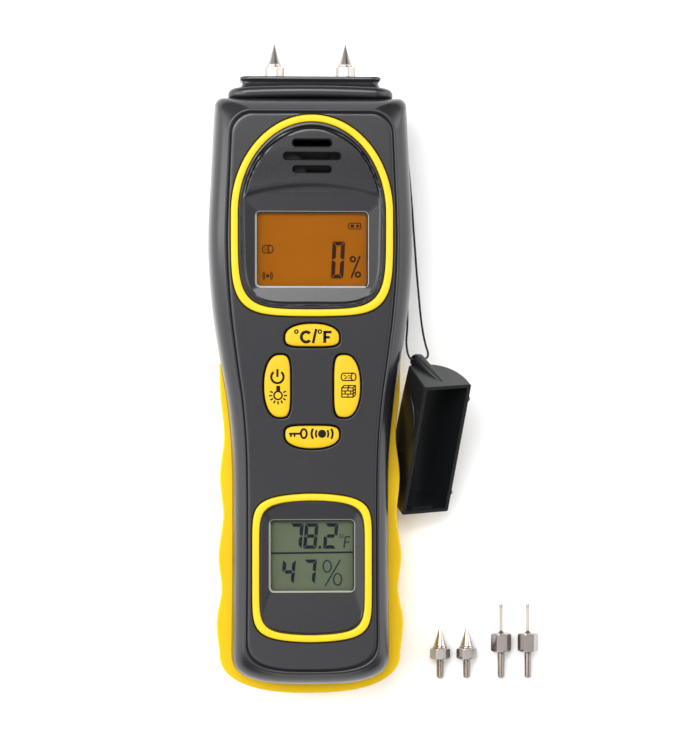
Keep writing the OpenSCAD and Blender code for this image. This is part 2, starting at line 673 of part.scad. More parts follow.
// Side view of the cap: flat on the left, its closed end running into the right wall in one curve
function cap_profile(t, depth, lip) =
    let (a = 0.85 * t, x0 = -0.35 * t, q = 2 / 2.5)
    concat([[-t / 2, lip]], [[-t / 2, -depth + 2]], [[-t / 2 + 0.6, -depth + 0.6]], [[-t / 2 + 2, -depth]],
           [for (i = [0 : 12]) [x0 + a * pow(sin(7.5 * i), q), -depth * pow(cos(7.5 * i), q)]],
           [[t / 2, lip]]);
// Block of that side view along the width, with a bowed closed end
module cap_block(w, t, depth, bow, lip) {
    n = 12;
    sections = [for (k = [0 : n]) let (s = 2 * k / n - 1)
        [s * w / 2, cap_profile(t, depth + bow * (1 - s * s), lip)]];
    rotate([90, 0, 0]) loft(sections);
}
module pin_cap() {
    color(black) at_cap() difference() {
        union() {
            difference() {
                cap_block(cap_w, cap_t, cap_depth, cap_bow, 0);
                cap_block(cap_w - 2 * cap_wall, cap_t - 2 * cap_wall, cap_depth - cap_wall, cap_bow, 1);
            }
            // Lug for the lanyard on the upper end wall
            difference() {
                hull() {
                    translate([tab_top[0], cap_w / 2 - 0.3, tab_top[1]]) sphere(0.4, $fn = 24);
                    translate([tab_tip[0], cap_w / 2, tab_tip[1] + 2]) rotate([0, 90, 0])
                        cylinder(h = 4.2, r = 2.9, center = true, $fn = 32);
                }
                translate([-20, cap_w / 2 - cap_wall - 30 + 0.2, -40]) cube([40, 30, 60]);
            }
            // Snap nubs outside the rim and a stop inside it
            for (y = [-15, 15]) translate([cap_t / 2 - 0.4, y, -1.6]) rotate([0, 45, 0]) cube([1.4, 2.6, 1.4], center = true);
            translate([-cap_t / 2 + 0.3, 14, -1.4]) cube([1.4, 2.6, 1.2], center = true);
            translate([-4.5, -cap_w / 2 + cap_wall - 0.2, -2.2]) cube([7.5, 0.9, 1]);
        }
        // Hole for the lanyard
        translate([tab_hole_v, cap_w / 2 + tab_hole_rise, -tab_hole_depth]) rotate([0, 90, 0])
            cylinder(h = 20, r = tab_hole_r, center = true);
    }
}

front_case();
rear_case();
rubber_boot();
nose_block();
upper_trim_ring();
upper_bezel();
upper_window();
upper_lcd();
upper_backlight();
upper_contact_strips();
lower_trim_ring();
lower_bezel();
lower_window();
lower_lcd();
lower_contact_strips();
main_board();
controller_chip();
measuring_chip();
board_capacitors();
clock_crystal();
buzzer();
humidity_sensor();
keypad_mat();
key_units();
key_power();
key_mode();
key_hold();
key_units_pill();
key_power_pill();
key_mode_pill();
key_hold_pill();
pin_sockets();
pin_leads();
contact_pin_left();
contact_pin_right();
battery();
battery_snap();
battery_leads();
battery_foam();
battery_door();
case_screws();
board_screws();
lanyard_bar();
lanyard();
pin_cap();
spare_cone_pin_1();
spare_cone_pin_2();
spare_needle_pin_1();
spare_needle_pin_2();
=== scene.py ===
import math

import bmesh
import bpy
from mathutils import Euler, Matrix, Vector


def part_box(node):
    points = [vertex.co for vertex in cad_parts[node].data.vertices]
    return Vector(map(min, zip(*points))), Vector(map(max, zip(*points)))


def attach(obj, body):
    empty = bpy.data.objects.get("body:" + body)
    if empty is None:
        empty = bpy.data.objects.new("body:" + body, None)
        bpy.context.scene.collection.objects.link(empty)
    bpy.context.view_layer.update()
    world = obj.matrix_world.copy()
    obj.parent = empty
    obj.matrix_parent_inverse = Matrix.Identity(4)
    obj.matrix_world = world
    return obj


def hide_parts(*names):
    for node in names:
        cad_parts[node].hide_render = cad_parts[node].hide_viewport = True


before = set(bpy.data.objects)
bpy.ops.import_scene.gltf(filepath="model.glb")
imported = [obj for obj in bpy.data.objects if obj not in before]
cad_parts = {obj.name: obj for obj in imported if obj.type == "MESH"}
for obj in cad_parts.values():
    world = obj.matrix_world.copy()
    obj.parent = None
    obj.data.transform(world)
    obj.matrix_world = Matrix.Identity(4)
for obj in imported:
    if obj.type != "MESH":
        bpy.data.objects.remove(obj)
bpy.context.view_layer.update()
scene = bpy.context.scene
scene.view_settings.view_transform = "Standard"
MM = 0.001

# ---------------------------------------- camera
# Nearly straight down from 0.9 m, a little to the left of the meter
camera_data = bpy.data.cameras.new("camera")
camera = bpy.data.objects.new("camera", camera_data)
scene.collection.objects.link(camera)
camera.location = (-0.039, 0.0067, 0.9)
camera.rotation_euler = (0, math.atan2(-0.0471, 0.867), 0)
camera_data.sensor_width = 36
camera_data.lens = 134.6
camera_data.clip_start = 0.05
scene.camera = camera


# ---------------------------------------- mesh helpers
def build(name, verts, faces, mats, smooth=32, face_mats=None):
    """Mesh object from millimetres, welded, with outward normals and sharp edges by angle."""
    me = bpy.data.meshes.new(name)
    me.from_pydata([(x * MM, y * MM, z * MM) for x, y, z in verts], [], faces)
    for m in mats:
        me.materials.append(m)
    if face_mats:
        me.polygons.foreach_set("material_index", face_mats)
    bm = bmesh.new()
    bm.from_mesh(me)
    bmesh.ops.remove_doubles(bm, verts=bm.verts, dist=1e-7)
    bmesh.ops.recalc_face_normals(bm, faces=bm.faces)
    bm.to_mesh(me)
    bm.free()
    ob = bpy.data.objects.new(name, me)
    scene.collection.objects.link(ob)
    shade(ob, smooth)
    return ob


def shade(ob, smooth):
    ob.data.polygons.foreach_set("use_smooth", [True] * len(ob.data.polygons))
    ob.data.set_sharp_from_angle(angle=math.radians(smooth))


def apply_modifiers(ob):
    deps = bpy.context.evaluated_depsgraph_get()
    me = bpy.data.meshes.new_from_object(ob.evaluated_get(deps))
    ob.modifiers.clear()
    ob.data = me


def boolean(ob, cutter, smooth=32):
    """Cut one piece with another, which is then removed."""
    mod = ob.modifiers.new("cut", "BOOLEAN")
    mod.operation = "DIFFERENCE"
    mod.solver = "EXACT"
    mod.object = cutter
    apply_modifiers(ob)
    bpy.data.objects.remove(cutter)
    shade(ob, smooth)


def weight_normals(ob):
    mod = ob.modifiers.new("normals", "WEIGHTED_NORMAL")
    mod.keep_sharp = True
    mod.weight = 50


def join(obs, name):
    """One object from several, keeping each face's material."""
    mats = []
    bm = bmesh.new()
    for ob in obs:
        index = []
        for m in ob.data.materials:
            if m not in mats:
                mats.append(m)
            index.append(mats.index(m))
        start = len(bm.faces)
        bm.from_mesh(ob.data)
        bm.faces.ensure_lookup_table()
        for f in bm.faces[start:]:
            f.material_index = index[f.material_index] if index else 0
        bpy.data.objects.remove(ob)
    me = bpy.data.meshes.new(name)
    bm.to_mesh(me)
    bm.free()
    for m in mats:
        me.materials.append(m)
    ob = bpy.data.objects.new(name, me)
    scene.collection.objects.link(ob)
    return ob


def rings(name, loops, mats, smooth=32, ring_mats=None):
    """Closed loops of equal length, joined in order, with flat caps. ring_mats gives each band's slot."""
    n = len(loops[0])
    verts = [p for loop in loops for p in loop]
    bands = ring_mats or [0] * (len(loops) - 1)
    faces, which = [], []
    for k, band in enumerate(bands):
        for i in range(n):
            j = (i + 1) % n
            faces.append((k * n + i, k * n + j, (k + 1) * n + j, (k + 1) * n + i))
            which.append(band)
    faces.append(tuple(range(n))[::-1])
    faces.append(tuple((len(loops) - 1) * n + i for i in range(n)))
    which += [bands[0], bands[-1]]
    return build(name, verts, faces, mats, smooth, which)


def hoop(name, lines, mats, smooth, ring_mats=None, closed=True):
    """Lines of equal length joined in order and back to the first. Open lines leave two ends to cap."""
    n, count = len(lines[0]), len(lines)
    verts = [p for line in lines for p in line]
    faces, which = [], []
    for k in range(count):
        a, b = k * n, (k + 1) % count * n
        for i in range(n if closed else n - 1):
            j = (i + 1) % n
            faces.append((a + i, a + j, b + j, b + i))
            which.append(ring_mats[k] if ring_mats else 0)
    if not closed:
        faces += [tuple(range(end, n * count, n)) for end in (0, n - 1)]
        which += [0, 0]
    return build(name, verts, faces, mats, smooth, which)


def place(ob, body, slot, *nodes, normals=True):
    """Put a piece on its body, in place of the CAD nodes it stands for. The slot is not used."""
    if normals:
        weight_normals(ob)
    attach(ob, body)
    if nodes:
        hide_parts(*nodes)


def smooth_path(points, steps):
    """Catmull-Rom points through the given ones."""
    out = []
    last = len(points) - 1
    for i in range(last):
        a, b, c, d = (Vector(points[k]) for k in (max(i - 1, 0), i, i + 1, min(i + 2, last)))
        for s in range(steps):
            t = s / steps
            straight, bend = 2 * b + (c - a) * t, (2 * a - 5 * b + 4 * c - d) * t * t
            out.append(0.5 * (straight + bend + (3 * b - a - 3 * c + d) * t ** 3))
    out.append(Vector(points[-1]))
    return out


def turn_angles(n):
    """n even steps once round, in radians."""
    return [2 * math.pi * i / n for i in range(n)]


def mix(a, b, t):
    return a + (b - a) * t


def mix_xy(a, b, t):
    return (mix(a[0], b[0], t), mix(a[1], b[1], t))


def at_height(points, z):
    return [(x, y, z) for x, y in points]


def soft(t):
    """Smooth step from 0 to 1."""
    t = min(max(t, 0), 1)
    return t * t * (3 - 2 * t)


# ---------------------------------------- materials
def srgb(r, g, b):
    return tuple(((c / 255 + 0.055) / 1.055) ** 2.4 if c > 10 else c / 255 / 12.92 for c in (r, g, b)) + (1,)


def noise(tree, scale, detail):
    """Noise value in the object's own space."""
    place_node = tree.nodes.new("ShaderNodeTexCoord")
    node = tree.nodes.new("ShaderNodeTexNoise")
    node.inputs["Scale"].default_value = scale
    node.inputs["Detail"].default_value = detail
    tree.links.new(place_node.outputs["Object"], node.inputs["Vector"])
    return node.outputs["Fac"]


def spread(tree, value, low, high):
    """Noise, which mostly lies between 0.3 and 0.7, spread over a range."""
    node = tree.nodes.new("ShaderNodeMapRange")
    node.inputs["From Min"].default_value = 0.3
    node.inputs["From Max"].default_value = 0.7
    node.inputs["To Min"].default_value = low
    node.inputs["To Max"].default_value = high
    tree.links.new(value, node.inputs["Value"])
    return node.outputs["Result"]


def material(name, colour, rough, grain=0.5, bump=0.1, vary=0.06, metal=0.0, depth=0.03, rough_vary=0.06,
             **sockets):
    """Procedural surface: slight colour drift, uneven gloss and a moulded or machined grain (grain in mm)."""
    m = bpy.data.materials.new(name)
    m.use_nodes = True
    t = m.node_tree
    p = t.nodes["Principled BSDF"]
    tint = t.nodes.new("ShaderNodeVectorMath")
    tint.operation = "SCALE"
    tint.inputs[0].default_value = colour[:3]
    t.links.new(spread(t, noise(t, 60, 4), 1 - vary, 1 + vary), tint.inputs["Scale"])
    t.links.new(tint.outputs["Vector"], p.inputs["Base Color"])
    fine = noise(t, 1000 / grain, 3)
    gloss = spread(t, fine, max(rough - rough_vary, 0.02), min(rough + rough_vary, 1))
    t.links.new(gloss, p.inputs["Roughness"])
    b = t.nodes.new("ShaderNodeBump")
    b.inputs["Strength"].default_value = bump
    b.inputs["Distance"].default_value = depth * MM
    t.links.new(fine, b.inputs["Height"])
    t.links.new(b.outputs["Normal"], p.inputs["Normal"])
    p.inputs["Metallic"].default_value = metal
    for key, value in sockets.items():
        p.inputs[key.replace("_", " ")].default_value = value
    return m


CASE = material("charcoal_case", srgb(27, 27, 31), 0.23, 0.3, 0.1, 0.05, depth=0.015, rough_vary=0.04)
# The bezels' copy of the case plastic, a notch darker and less shiny: painted shade on their faces.
BEZEL_SHADE = material("charcoal_bezel_painted_shade", srgb(24, 24, 28), 0.24, 0.3, 0.1, 0.05, depth=0.015, rough_vary=0.04,
                 Specular_IOR_Level=0.44)
# Near black for insides, the walls of holes, slots and openings, and hidden parts: painted shade.
GAP_SHADE = material("painted_gap_shade", srgb(7, 6, 6), 0.8, 0.4, 0.1)
BOOT = material("yellow_boot", srgb(224, 182, 0), 0.5, 0.5, 0.25, 0.03, depth=0.03, Specular_IOR_Level=0.2)
TRIM = material("yellow_trim", srgb(220, 182, 12), 0.33, 0.6, 0.08, 0.03, Specular_IOR_Level=0.35)
KEY = material("yellow_key", srgb(206, 166, 12), 0.45, 0.45, 0.15, 0.03, Specular_IOR_Level=0.25)
INK = material("black_print", srgb(9, 8, 6), 0.7, 0.3, 0.05, Specular_IOR_Level=0.2)
# Light grey on the chamfer round each display opening: a painted highlight.
EDGE_HIGHLIGHT = material("painted_edge_highlight", srgb(128, 128, 120), 0.2, 1.0, 0.03)
SEGMENT_WARM = material("segment_warm", srgb(44, 20, 5), 0.6, 0.8, 0.02, Specular_IOR_Level=0.1)
SEGMENT_COOL = material("segment_cool", srgb(17, 24, 33), 0.6, 0.8, 0.02, Specular_IOR_Level=0.1)
SEGMENT_THIN = material("segment_thin", srgb(34, 44, 48), 0.6, 0.8, 0.02, Specular_IOR_Level=0.1)
CAP = material("black_cap", srgb(19, 21, 23), 0.34, 0.35, 0.25, 0.06, depth=0.02)
CORD = material("braided_cord", srgb(16, 16, 17), 0.75, 0.2, 0.5, 0.15, depth=0.05)
NICKEL = material("nickel_plate", srgb(172, 165, 160), 0.09, 0.25, 0.05, 0.05, metal=1.0, depth=0.01)
STEEL = material("zinc_screw", srgb(170, 170, 168), 0.3, 0.3, 0.1, 0.06, metal=1.0)
BRASS = material("turned_brass", srgb(200, 165, 90), 0.28, 0.2, 0.08, 0.05, metal=1.0)
BLACK = material("black_moulding", srgb(12, 12, 13), 0.6, 0.4, 0.15, Specular_IOR_Level=0.2)
BOARD = material("solder_mask", srgb(3, 5, 4), 0.6, 1.2, 0.12, 0.12, Specular_IOR_Level=0.15)
SLEEVE = material("capacitor_sleeve", srgb(40, 52, 110), 0.3, 0.8, 0.05)
SENSOR = material("sensor_body", srgb(12, 12, 13), 0.6, 0.5, 0.1, Specular_IOR_Level=0.2)
STRIP = material("contact_strip", srgb(190, 186, 182), 0.6, 0.12, 0.4, 0.1)
CARBON = material("carbon_pill", srgb(20, 20, 20), 0.8, 0.3, 0.3)
WIRE = material("red_wire", srgb(150, 24, 20), 0.4, 0.6, 0.05)
BATTERY = material("battery_skin", srgb(48, 56, 96), 0.35, 2.0, 0.05, 0.08)
FOAM = material("closed_foam", srgb(60, 60, 64), 0.95, 0.5, 0.9, 0.1, depth=0.2)
GUIDE = material("light_guide", srgb(235, 215, 165), 0.35, 1.0, 0.05)


def display(name, colour, mottle, glow):
    """Display glass: a glowing field with a faint mottle of a second colour. Without a backlight the glow is
    painted light.
    """
    m = material(name, colour, 0.5, 0.8, 0.03, 0.05)
    t = m.node_tree
    p = t.nodes["Principled BSDF"]
    ramp = t.nodes.new("ShaderNodeValToRGB")
    ramp.color_ramp.elements[0].position = 0.35
    ramp.color_ramp.elements[0].color = mottle
    ramp.color_ramp.elements[1].position = 0.65
    ramp.color_ramp.elements[1].color = colour
    t.links.new(noise(t, 90, 2), ramp.inputs["Fac"])
    t.links.new(ramp.outputs["Color"], p.inputs["Emission Color"])
    p.inputs["Emission Strength"].default_value = glow
    p.inputs["Specular IOR Level"].default_value = 0.05
    return m


AMBER = display("amber_field", srgb(134, 76, 2), srgb(126, 68, 1), 0.3)
# The lower display has no backlight: its faint glow is painted light.
GREEN = display("green_field_painted_glow", srgb(86, 96, 76), srgb(80, 90, 70), 0.08)
WINDOW = material("clear_window", srgb(10, 12, 12), 0.06, 1.0, 0.01, 0.01, rough_vary=0.02, Alpha=0.06,
                  IOR=1.45)

# ---------------------------------------- lanyard
# From the lanyard bar to the cap and back, as in the CAD
CORD_ROUTE = [
    (30.8, 76.2, 12.4), (31.6, 75.4, 12.3), (32.1, 73.8, 12.1), (32.6, 70, 11.2), (33.3, 64, 9.7),
    (34, 57, 8.3), (34.5, 50.5, 7.6), (35, 44, 7.3), (35.4, 38, 7.7), (35.8, 32, 9),
    (36.1, 26.5, 11.2), (36.4, 21.5, 13.8), (36.8, 17, 16.9), (37.4, 13, 20.2), (37.9, 10.6, 22.4),
    (37.6, 9.2, 23.2), (36.4, 8.7, 24), (34.9, 8.6, 24.5), (33.2, 8.5, 25), (32, 8.8, 25.5),
    (31.2, 10.2, 25.3), (30.9, 12.6, 24), (31, 15.2, 21.6), (31.5, 18.2, 18.4), (31.9, 22, 14.8),
    (32.1, 27, 11.6), (32.2, 33, 9.4), (32.3, 40, 8.2), (32.4, 47, 8), (32.5, 54, 8.4),
    (32.5, 61, 9.2), (32.3, 67, 10.1), (32, 71.5, 10.7), (31.5, 74, 10.9), (30.9, 75.1, 10.9),
]
CORD_R = 0.35


def twisted_tube(name, line, radius, sides, mat, lay_length=2.2, strands=3):
    """Tube of laid strands along a line, without twist in its frame."""
    loops, run, up = [], 0.0, None
    for k, p in enumerate(line):
        t = (line[min(k + 1, len(line) - 1)] - line[max(k - 1, 0)]).normalized()
        up = up or t.cross(Vector((0.35, 0.1, 0.93))).normalized()
        up = (up - t * up.dot(t)).normalized()
        side = t.cross(up)
        if k:
            run += (p - line[k - 1]).length
        loop = []
        for a in turn_angles(sides):
            r = radius * (0.9 + 0.1 * abs(math.cos(strands * (a - 2 * math.pi * run / lay_length) / 2)))
            loop.append(tuple(p + r * (math.cos(a) * up + math.sin(a) * side)))
        loops.append(loop)
    return rings(name, loops, [mat], smooth=60)


cord_line = smooth_path(CORD_ROUTE, 12)
cord = twisted_tube("lanyard_cord", cord_line, CORD_R, 12, CORD)
place(cord, "lanyard", "cord", "lanyard", normals=False)

# ---------------------------------------- housing outlines, as in the CAD
# Half widths of the case and the boot along Y
CASE_HALF = [
    (-86, 25.4), (-50, 25.1), (-22, 25.4), (-6, 26.8), (8, 29.1), (26, 31.7), (46, 32.9), (70, 31.9),
    (90, 30.9),
]
BOOT_HALF = [
    (-86, 29.4), (-76, 30.3), (-66, 28.7), (-55, 29.7), (-42, 28.2), (-29, 29.2), (-16, 27.9), (-3, 29.1),
    (8, 29.5),
]
CASE_TOP, CASE_BOTTOM, BOOT_TOP, BOOT_BOTTOM = 92.5, -96, 7, -99.4
INSET_REF = 30  # half width at which an inset narrows the outline by its full amount
CASE_CORNER = (10.5, 3)  # height and roundness of the case's lower end
BOOT_CORNER = (13.4, 2.45)


def half_at(s, y):
    """Half width at y, on a smooth curve through the points."""
    i = 0
    while i < len(s) - 2 and y >= s[i + 1][0]:
        i += 1

    def slope(k):
        a, b = max(k - 1, 0), min(k + 1, len(s) - 1)
        return (s[b][1] - s[a][1]) / (s[b][0] - s[a][0])

    h = s[i + 1][0] - s[i][0]
    t = (y - s[i][0]) / h
    return (s[i][1] * (2 * t ** 3 - 3 * t * t + 1) + s[i + 1][1] * (3 * t * t - 2 * t ** 3)
            + h * slope(i) * (t ** 3 - 2 * t * t + t) + h * slope(i + 1) * (t ** 3 - t * t))


def mirrored(right):
    return right + [(-x, y) for x, y in right[:0:-1]]


def tail(half, low, corner, inset):
    """Right half of the lower end, the y where the side takes over, and the factor the inset narrows by."""
    corner_h, corner_p = corner
    k = 1 - inset / INSET_REF
    yc = low + inset + corner_h
    w0 = half_at(half, yc) * k
    out = []
    for i in range(28):
        a = math.radians(90 * (i / 28) ** 1.35)
        c, s = max(math.cos(a), 0) ** (2 / corner_p), math.sin(a) ** (2 / corner_p)
        out.append((w0 * s, yc - corner_h * c))
    return out, yc, k


def side_points(s, y0, y1, k, steps):
    """Right side between two places along Y."""
    return [(half_at(s, y) * k, y) for y in (y0 + (y1 - y0) * i / steps for i in range(steps + 1))]


def case_ring(z, inset, r):
    """Outline of the case at a height, drawn in by an inset, with rounded corners at the pins' end."""
    right, yc, k = tail(CASE_HALF, CASE_BOTTOM, CASE_CORNER, inset)
    yt = CASE_TOP - inset - r
    wt = half_at(CASE_HALF, yt) * k - r
    right += side_points(CASE_HALF, yc, yt, k, 72)
    for a in (math.radians(90 * i / 14) for i in range(1, 15)):
        right.append((wt + r * math.cos(a), yt + r * math.sin(a)))
    return at_height(mirrored(right), z)


def egg(g, inset, z, n=160):
    """Closed outline: centre along Y, half width, reach and roundness above and below, droop of the ends."""
    out = []
    for a in turn_angles(n):
        c, s = math.cos(a), math.sin(a)
        p, b, droop = (g[4], g[2] - inset, -g[6]) if s >= 0 else (g[5], g[3] - inset, g[7])
        r = ((abs(c) / (g[1] - inset)) ** p + (abs(s) / b) ** p) ** (-1 / p)
        out.append((r * c, g[0] + r * s + droop * (r * c / g[1]) ** 2 * (r * s / b) ** 2, z))
    return out


def round_rect(w, h, r, n, cx=0, cy=0):
    """Corner arcs of n steps each, counter-clockwise from the lower right."""
    out = []
    for k, (sx, sy) in enumerate(((1, -1), (1, 1), (-1, 1), (-1, -1))):
        for i in range(n + 1):
            a = math.radians(-90 + 90 * k + 90 * i / n)
            out.append((cx + sx * (w / 2 - r) + r * math.cos(a), cy + sy * (h / 2 - r) + r * math.sin(a)))
    return out


# Outlines of the two trim rings, for egg(), and their width
UPPER = (55, 25.8, 31.3, 32.8, 2, 5.2, 0, 1)
LOWER = (-58, 19, 23.8, 23.4, 7, 6.5, 2.7, 2.4)
TRIM_W = 2.2

# ---------------------------------------- front and rear case
# Height, inset and radius of the two corners nearest the pins, outside and inside
FRONT = [
    (17, 0.35, 2.6), (17.3, 0.02, 2.6), (18.5, 0.04, 2.6), (20, 0.06, 2.6), (22, 0.1, 2.6), (24, 0.16, 2.6),
    (26, 0.36, 2.8), (27.5, 0.62, 3), (28.8, 1, 3.4), (30, 1.52, 4), (30.9, 2.1, 5), (31.6, 2.66, 5.8),
    (32.2, 3.22, 6.5), (32.7, 3.72, 7), (33.05, 4.06, 7.3), (33.3, 4.28, 7.4), (33.45, 4.44, 7.5),
    (33.5, 4.6, 7.5), (33.5, 4.92, 7.4), (33.42, 5.06, 7.3), (33.05, 5.18, 7.2), (32.92, 5.3, 7.1),
    (32.98, 5.45, 7), (33.26, 5.68, 6.9), (33.4, 5.9, 6.8), (33.44, 6.3, 6.7), (33.44, 6.8, 6.6),
]
FRONT_INSIDE = [(16.9, 2.1, 2.6), (20, 2.3, 2.6), (24, 2.9, 3), (28, 4.2, 4), (30, 5.6, 5), (31, 7.6, 6)]
REAR = [
    (0, 7.9, 3), (0.05, 7.4, 3), (0.35, 6.9, 3), (1.2, 6.3, 3), (2.4, 5.45, 3), (4, 4.6, 3), (6, 3.45, 3),
    (8, 2.5, 3), (10.5, 1.55, 2.8), (13, 0.8, 2.6), (15, 0.25, 2.6), (16.7, 0.02, 2.6), (17, 0.35, 2.6),
]
REAR_INSIDE = [(2, 8, 3), (4, 6.7, 3), (8, 4.6, 3), (13, 2.9, 2.6), (17.2, 2.1, 2.6)]
# The openings for a trim ring and for a key: inset or growth, and height. The last two bands round the edge.
RING_OPENING = [
    (TRIM_W + 1.4, 30), (TRIM_W + 1.4, 32.05), (-0.2, 32.0501), (-0.24, 33.2), (-0.48, 33.43), (-0.9, 34.4),
]
KEY_OPENING = [(0.56, 29), (0.56, 33.25), (0.7, 33.36), (1.0, 33.46), (2.2, 34.2)]
KEYS = ["units", "power", "hold", "mode"]  # above the centre, left, below and right
# Half length, reach outwards and inwards, and distance from the centre: above and below, then at the sides
KEY_SIZES = [(8.5, 4.05, 3.05, 15.7), (9.85, 4.7, 3.45, 10.5)]
KEY_ROUND = (2.2, 4.2)  # roundness of the outer and the inner side
SCREWS = [(-20.5, 82), (20.5, 82), (-20.4, 22), (20.4, 22)]


def case_rings(levels):
    return [case_ring(*level) for level in levels]


def key_loop(k, grow, z):
    """Outline of key k of KEYS: drawn above the centre, then turned about it."""
    length, outer, inner, place_y = KEY_SIZES[k % 2]
    shape = (0, length + grow, outer + grow, inner + grow, *KEY_ROUND, 0, 0)
    a = math.radians(90 * k)
    ca, sa = math.cos(a), math.sin(a)
    drawn = [(x, y + place_y) for x, y, _ in egg(shape, 0, 0, 96)]
    return [(ca * x - sa * y, sa * x + ca * y, z) for x, y in drawn]


def box(lo, hi, mat):
    """Block between two corners."""
    corners = [(lo[0], lo[1]), (hi[0], lo[1]), (hi[0], hi[1]), (lo[0], hi[1])]
    return rings("cutter", [at_height(corners, lo[2]), at_height(corners, hi[2])], [mat])


# The shell's inside and the lower walls of its openings are painted near black as shade.
front = rings("front_case_shell", case_rings(FRONT), [CASE, GAP_SHADE])
boolean(front, rings("cutter", case_rings(FRONT_INSIDE), [GAP_SHADE]))
for outline in (UPPER, LOWER):
    loops = [egg(outline, inset, z) for inset, z in RING_OPENING]
    boolean(front, rings("cutter", loops, [CASE, GAP_SHADE], ring_mats=[1, 1, 1, 0, 0]))
for k in range(len(KEYS)):
    loops = [key_loop(k, grow, z) for grow, z in KEY_OPENING]
    boolean(front, rings("cutter", loops, [CASE, GAP_SHADE], ring_mats=[1, 1, 0, 0]))
place(front, "housing", "case_plastic", "front_case")

rear = rings("rear_case_shell", case_rings(REAR), [CASE, GAP_SHADE])
# Its inside is painted near black as shade.
boolean(rear, rings("cutter", case_rings(REAR_INSIDE), [GAP_SHADE]))
# The battery door's opening, its side grooves, and the pocket for the lanyard bar
boolean(rear, box((-16.2, -115, -1), (16.2, -33, 4), CASE))
boolean(rear, box((-17.4, -115, 0.9), (17.4, -33, 2.2), CASE))
boolean(rear, box((28, 73, 8.5), (36, 78.2, 14.5), CASE))


def lathe(steps, n, origin, axis="z"):
    """Loops of n points about an axis, one for each height and radius. A radius may depend on the angle."""
    out = []
    for h, r in steps:
        loop = []
        for a in turn_angles(n):
            rr = r(a) if callable(r) else r
            u, v = rr * math.cos(a), rr * math.sin(a)
            p = (u, v, h) if axis == "z" else (u, h, -v)
            loop.append(tuple(o + c for o, c in zip(origin, p)))
        out.append(loop)
    return out


for x, y in SCREWS:
    recess = lathe([(-1, 3), (0, 2.7), (0.2, 2.5), (3, 2.5)], 32, (x, y, 0))
    boolean(rear, rings("cutter", recess, [CASE]))
place(rear, "housing", "case_plastic", "rear_case")

# ---------------------------------------- boot
# Height and inset of the case's outside, past the seam and up beyond the boot's rim
CASE_INSET = [(z, inset) for z, inset, _ in REAR + FRONT[1:5]]
SEAM = (16.5, 17.5)
# Height and inset of the boot's outside, then the heights of its inside, downwards
BOOT_OUT = [
    (2.3, 6.3), (2.35, 5.9), (2.6, 5.62), (3.2, 5.2), (4, 4.7), (6, 3.6), (8, 2.65), (10.5, 1.72), (13, 0.95),
    (15, 0.45), (17, 0.12), (18, 0.08), (18.6, 0.12), (18.95, 0.24), (19.15, 0.42), (19.2, 0.62),
]
BOOT_IN = (19.2, 18.8, 17, 15, 13, 10.5, 8, 6, 4, 3.2, 2.3)
BOOT_GAP = 1.002  # the inside is this much wider than the case


def case_inset(z):
    if SEAM[0] <= z <= SEAM[1]:
        return 0.02
    for (z0, i0), (z1, i1) in zip(CASE_INSET, CASE_INSET[1:]):
        if z0 <= z <= z1:
            return mix(i0, i1, (z - z0) / (z1 - z0))


def boot_line(s, low, corner, inset, z, widen=1):
    """Line from the boot's upper end on the left, round the lower end, to the upper end on the right."""
    right, yc, k = tail(s, low, corner, inset)
    right += side_points(s, yc, BOOT_TOP, k, 100)
    return [(x * widen, y, z) for x, y in [(-x, y) for x, y in right[:0:-1]] + right]


loops = [boot_line(BOOT_HALF, BOOT_BOTTOM, BOOT_CORNER, inset, z) for z, inset in BOOT_OUT]
loops += [boot_line(CASE_HALF, CASE_BOTTOM, CASE_CORNER, case_inset(z), z, BOOT_GAP) for z in BOOT_IN]
place(hoop("finger_grip_boot", loops, [BOOT], 40, closed=False), "housing", "boot_rubber", "rubber_boot")

# ---------------------------------------- nose
PIN_X, PIN_Y, PIN_Z = 11.5, 99.5, 17
PIN_HOLE_R = 2.82
# Place along Y, width, thickness and corner radius
NOSE = [
    (84, 36, 12, 2), (91.7, 36, 12, 2), (91.75, 50, 18.4, 5.4), (91.9, 51.2, 19.4, 5.7),
    (92.2, 52.2, 20.3, 5.9), (92.7, 52.8, 20.8, 6), (93.4, 53, 21, 6), (94.1, 52.9, 20.9, 6),
    (94.6, 52.5, 20.6, 5.9), (95, 51.9, 20.1, 5.8),
    (95.3, 51.1, 19.5, 5.7), (95.5, 50.2, 18.8, 5.5), (95.6, 49.2, 17.9, 5.2), (95.64, 47.8, 16.6, 4.6),
    (95.72, 46.6, 15.2, 4), (95.9, 45.8, 14.2, 3.5), (96.3, 44.8, 13.2, 3.1), (96.9, 44.1, 12.4, 2.8),
    (97.4, 43.9, 12.1, 2.6), (97.9, 44.1, 12.3, 2.7), (98.25, 44.7, 12.9, 2.9), (98.45, 45.2, 13.4, 3),
    (98.6, 45.4, 13.6, 3), (99.15, 45.4, 13.6, 3), (99.42, 45.1, 13.3, 2.9), (99.5, 44.6, 12.8, 2.7),
]


def nose_loop(y, w, t, r):
    """Outline across the case. Its broad sides are divided, so that the ridge can bow towards the pins."""
    bow = (1.0 if 91.72 < y < 95.7 else 0.5 if 95.7 <= y < 97 else 0) * 0.75
    corners = round_rect(w, t, r, 12)
    out = []
    for (x0, z0), (x1, z1) in zip(corners, corners[1:] + corners[:1]):
        steps = 16 if abs(x1 - x0) > 8 else 1
        out += [mix_xy((x0, z0), (x1, z1), s / steps) for s in range(steps)]
    return [(x, y + bow * (1 - (x / 26.5) ** 2), PIN_Z + z) for x, z in out]


nose = rings("nose_ridge_block", [nose_loop(*station) for station in NOSE], [CASE])
# The pin holes' walls are painted near black as shade.
for x in (-PIN_X, PIN_X):
    hole = lathe([(83, PIN_HOLE_R), (101, PIN_HOLE_R)], 40, (x, 0, PIN_Z), "y")
    boolean(nose, rings("cutter", hole, [GAP_SHADE]))
place(nose, "housing", "case_plastic", "nose_block")

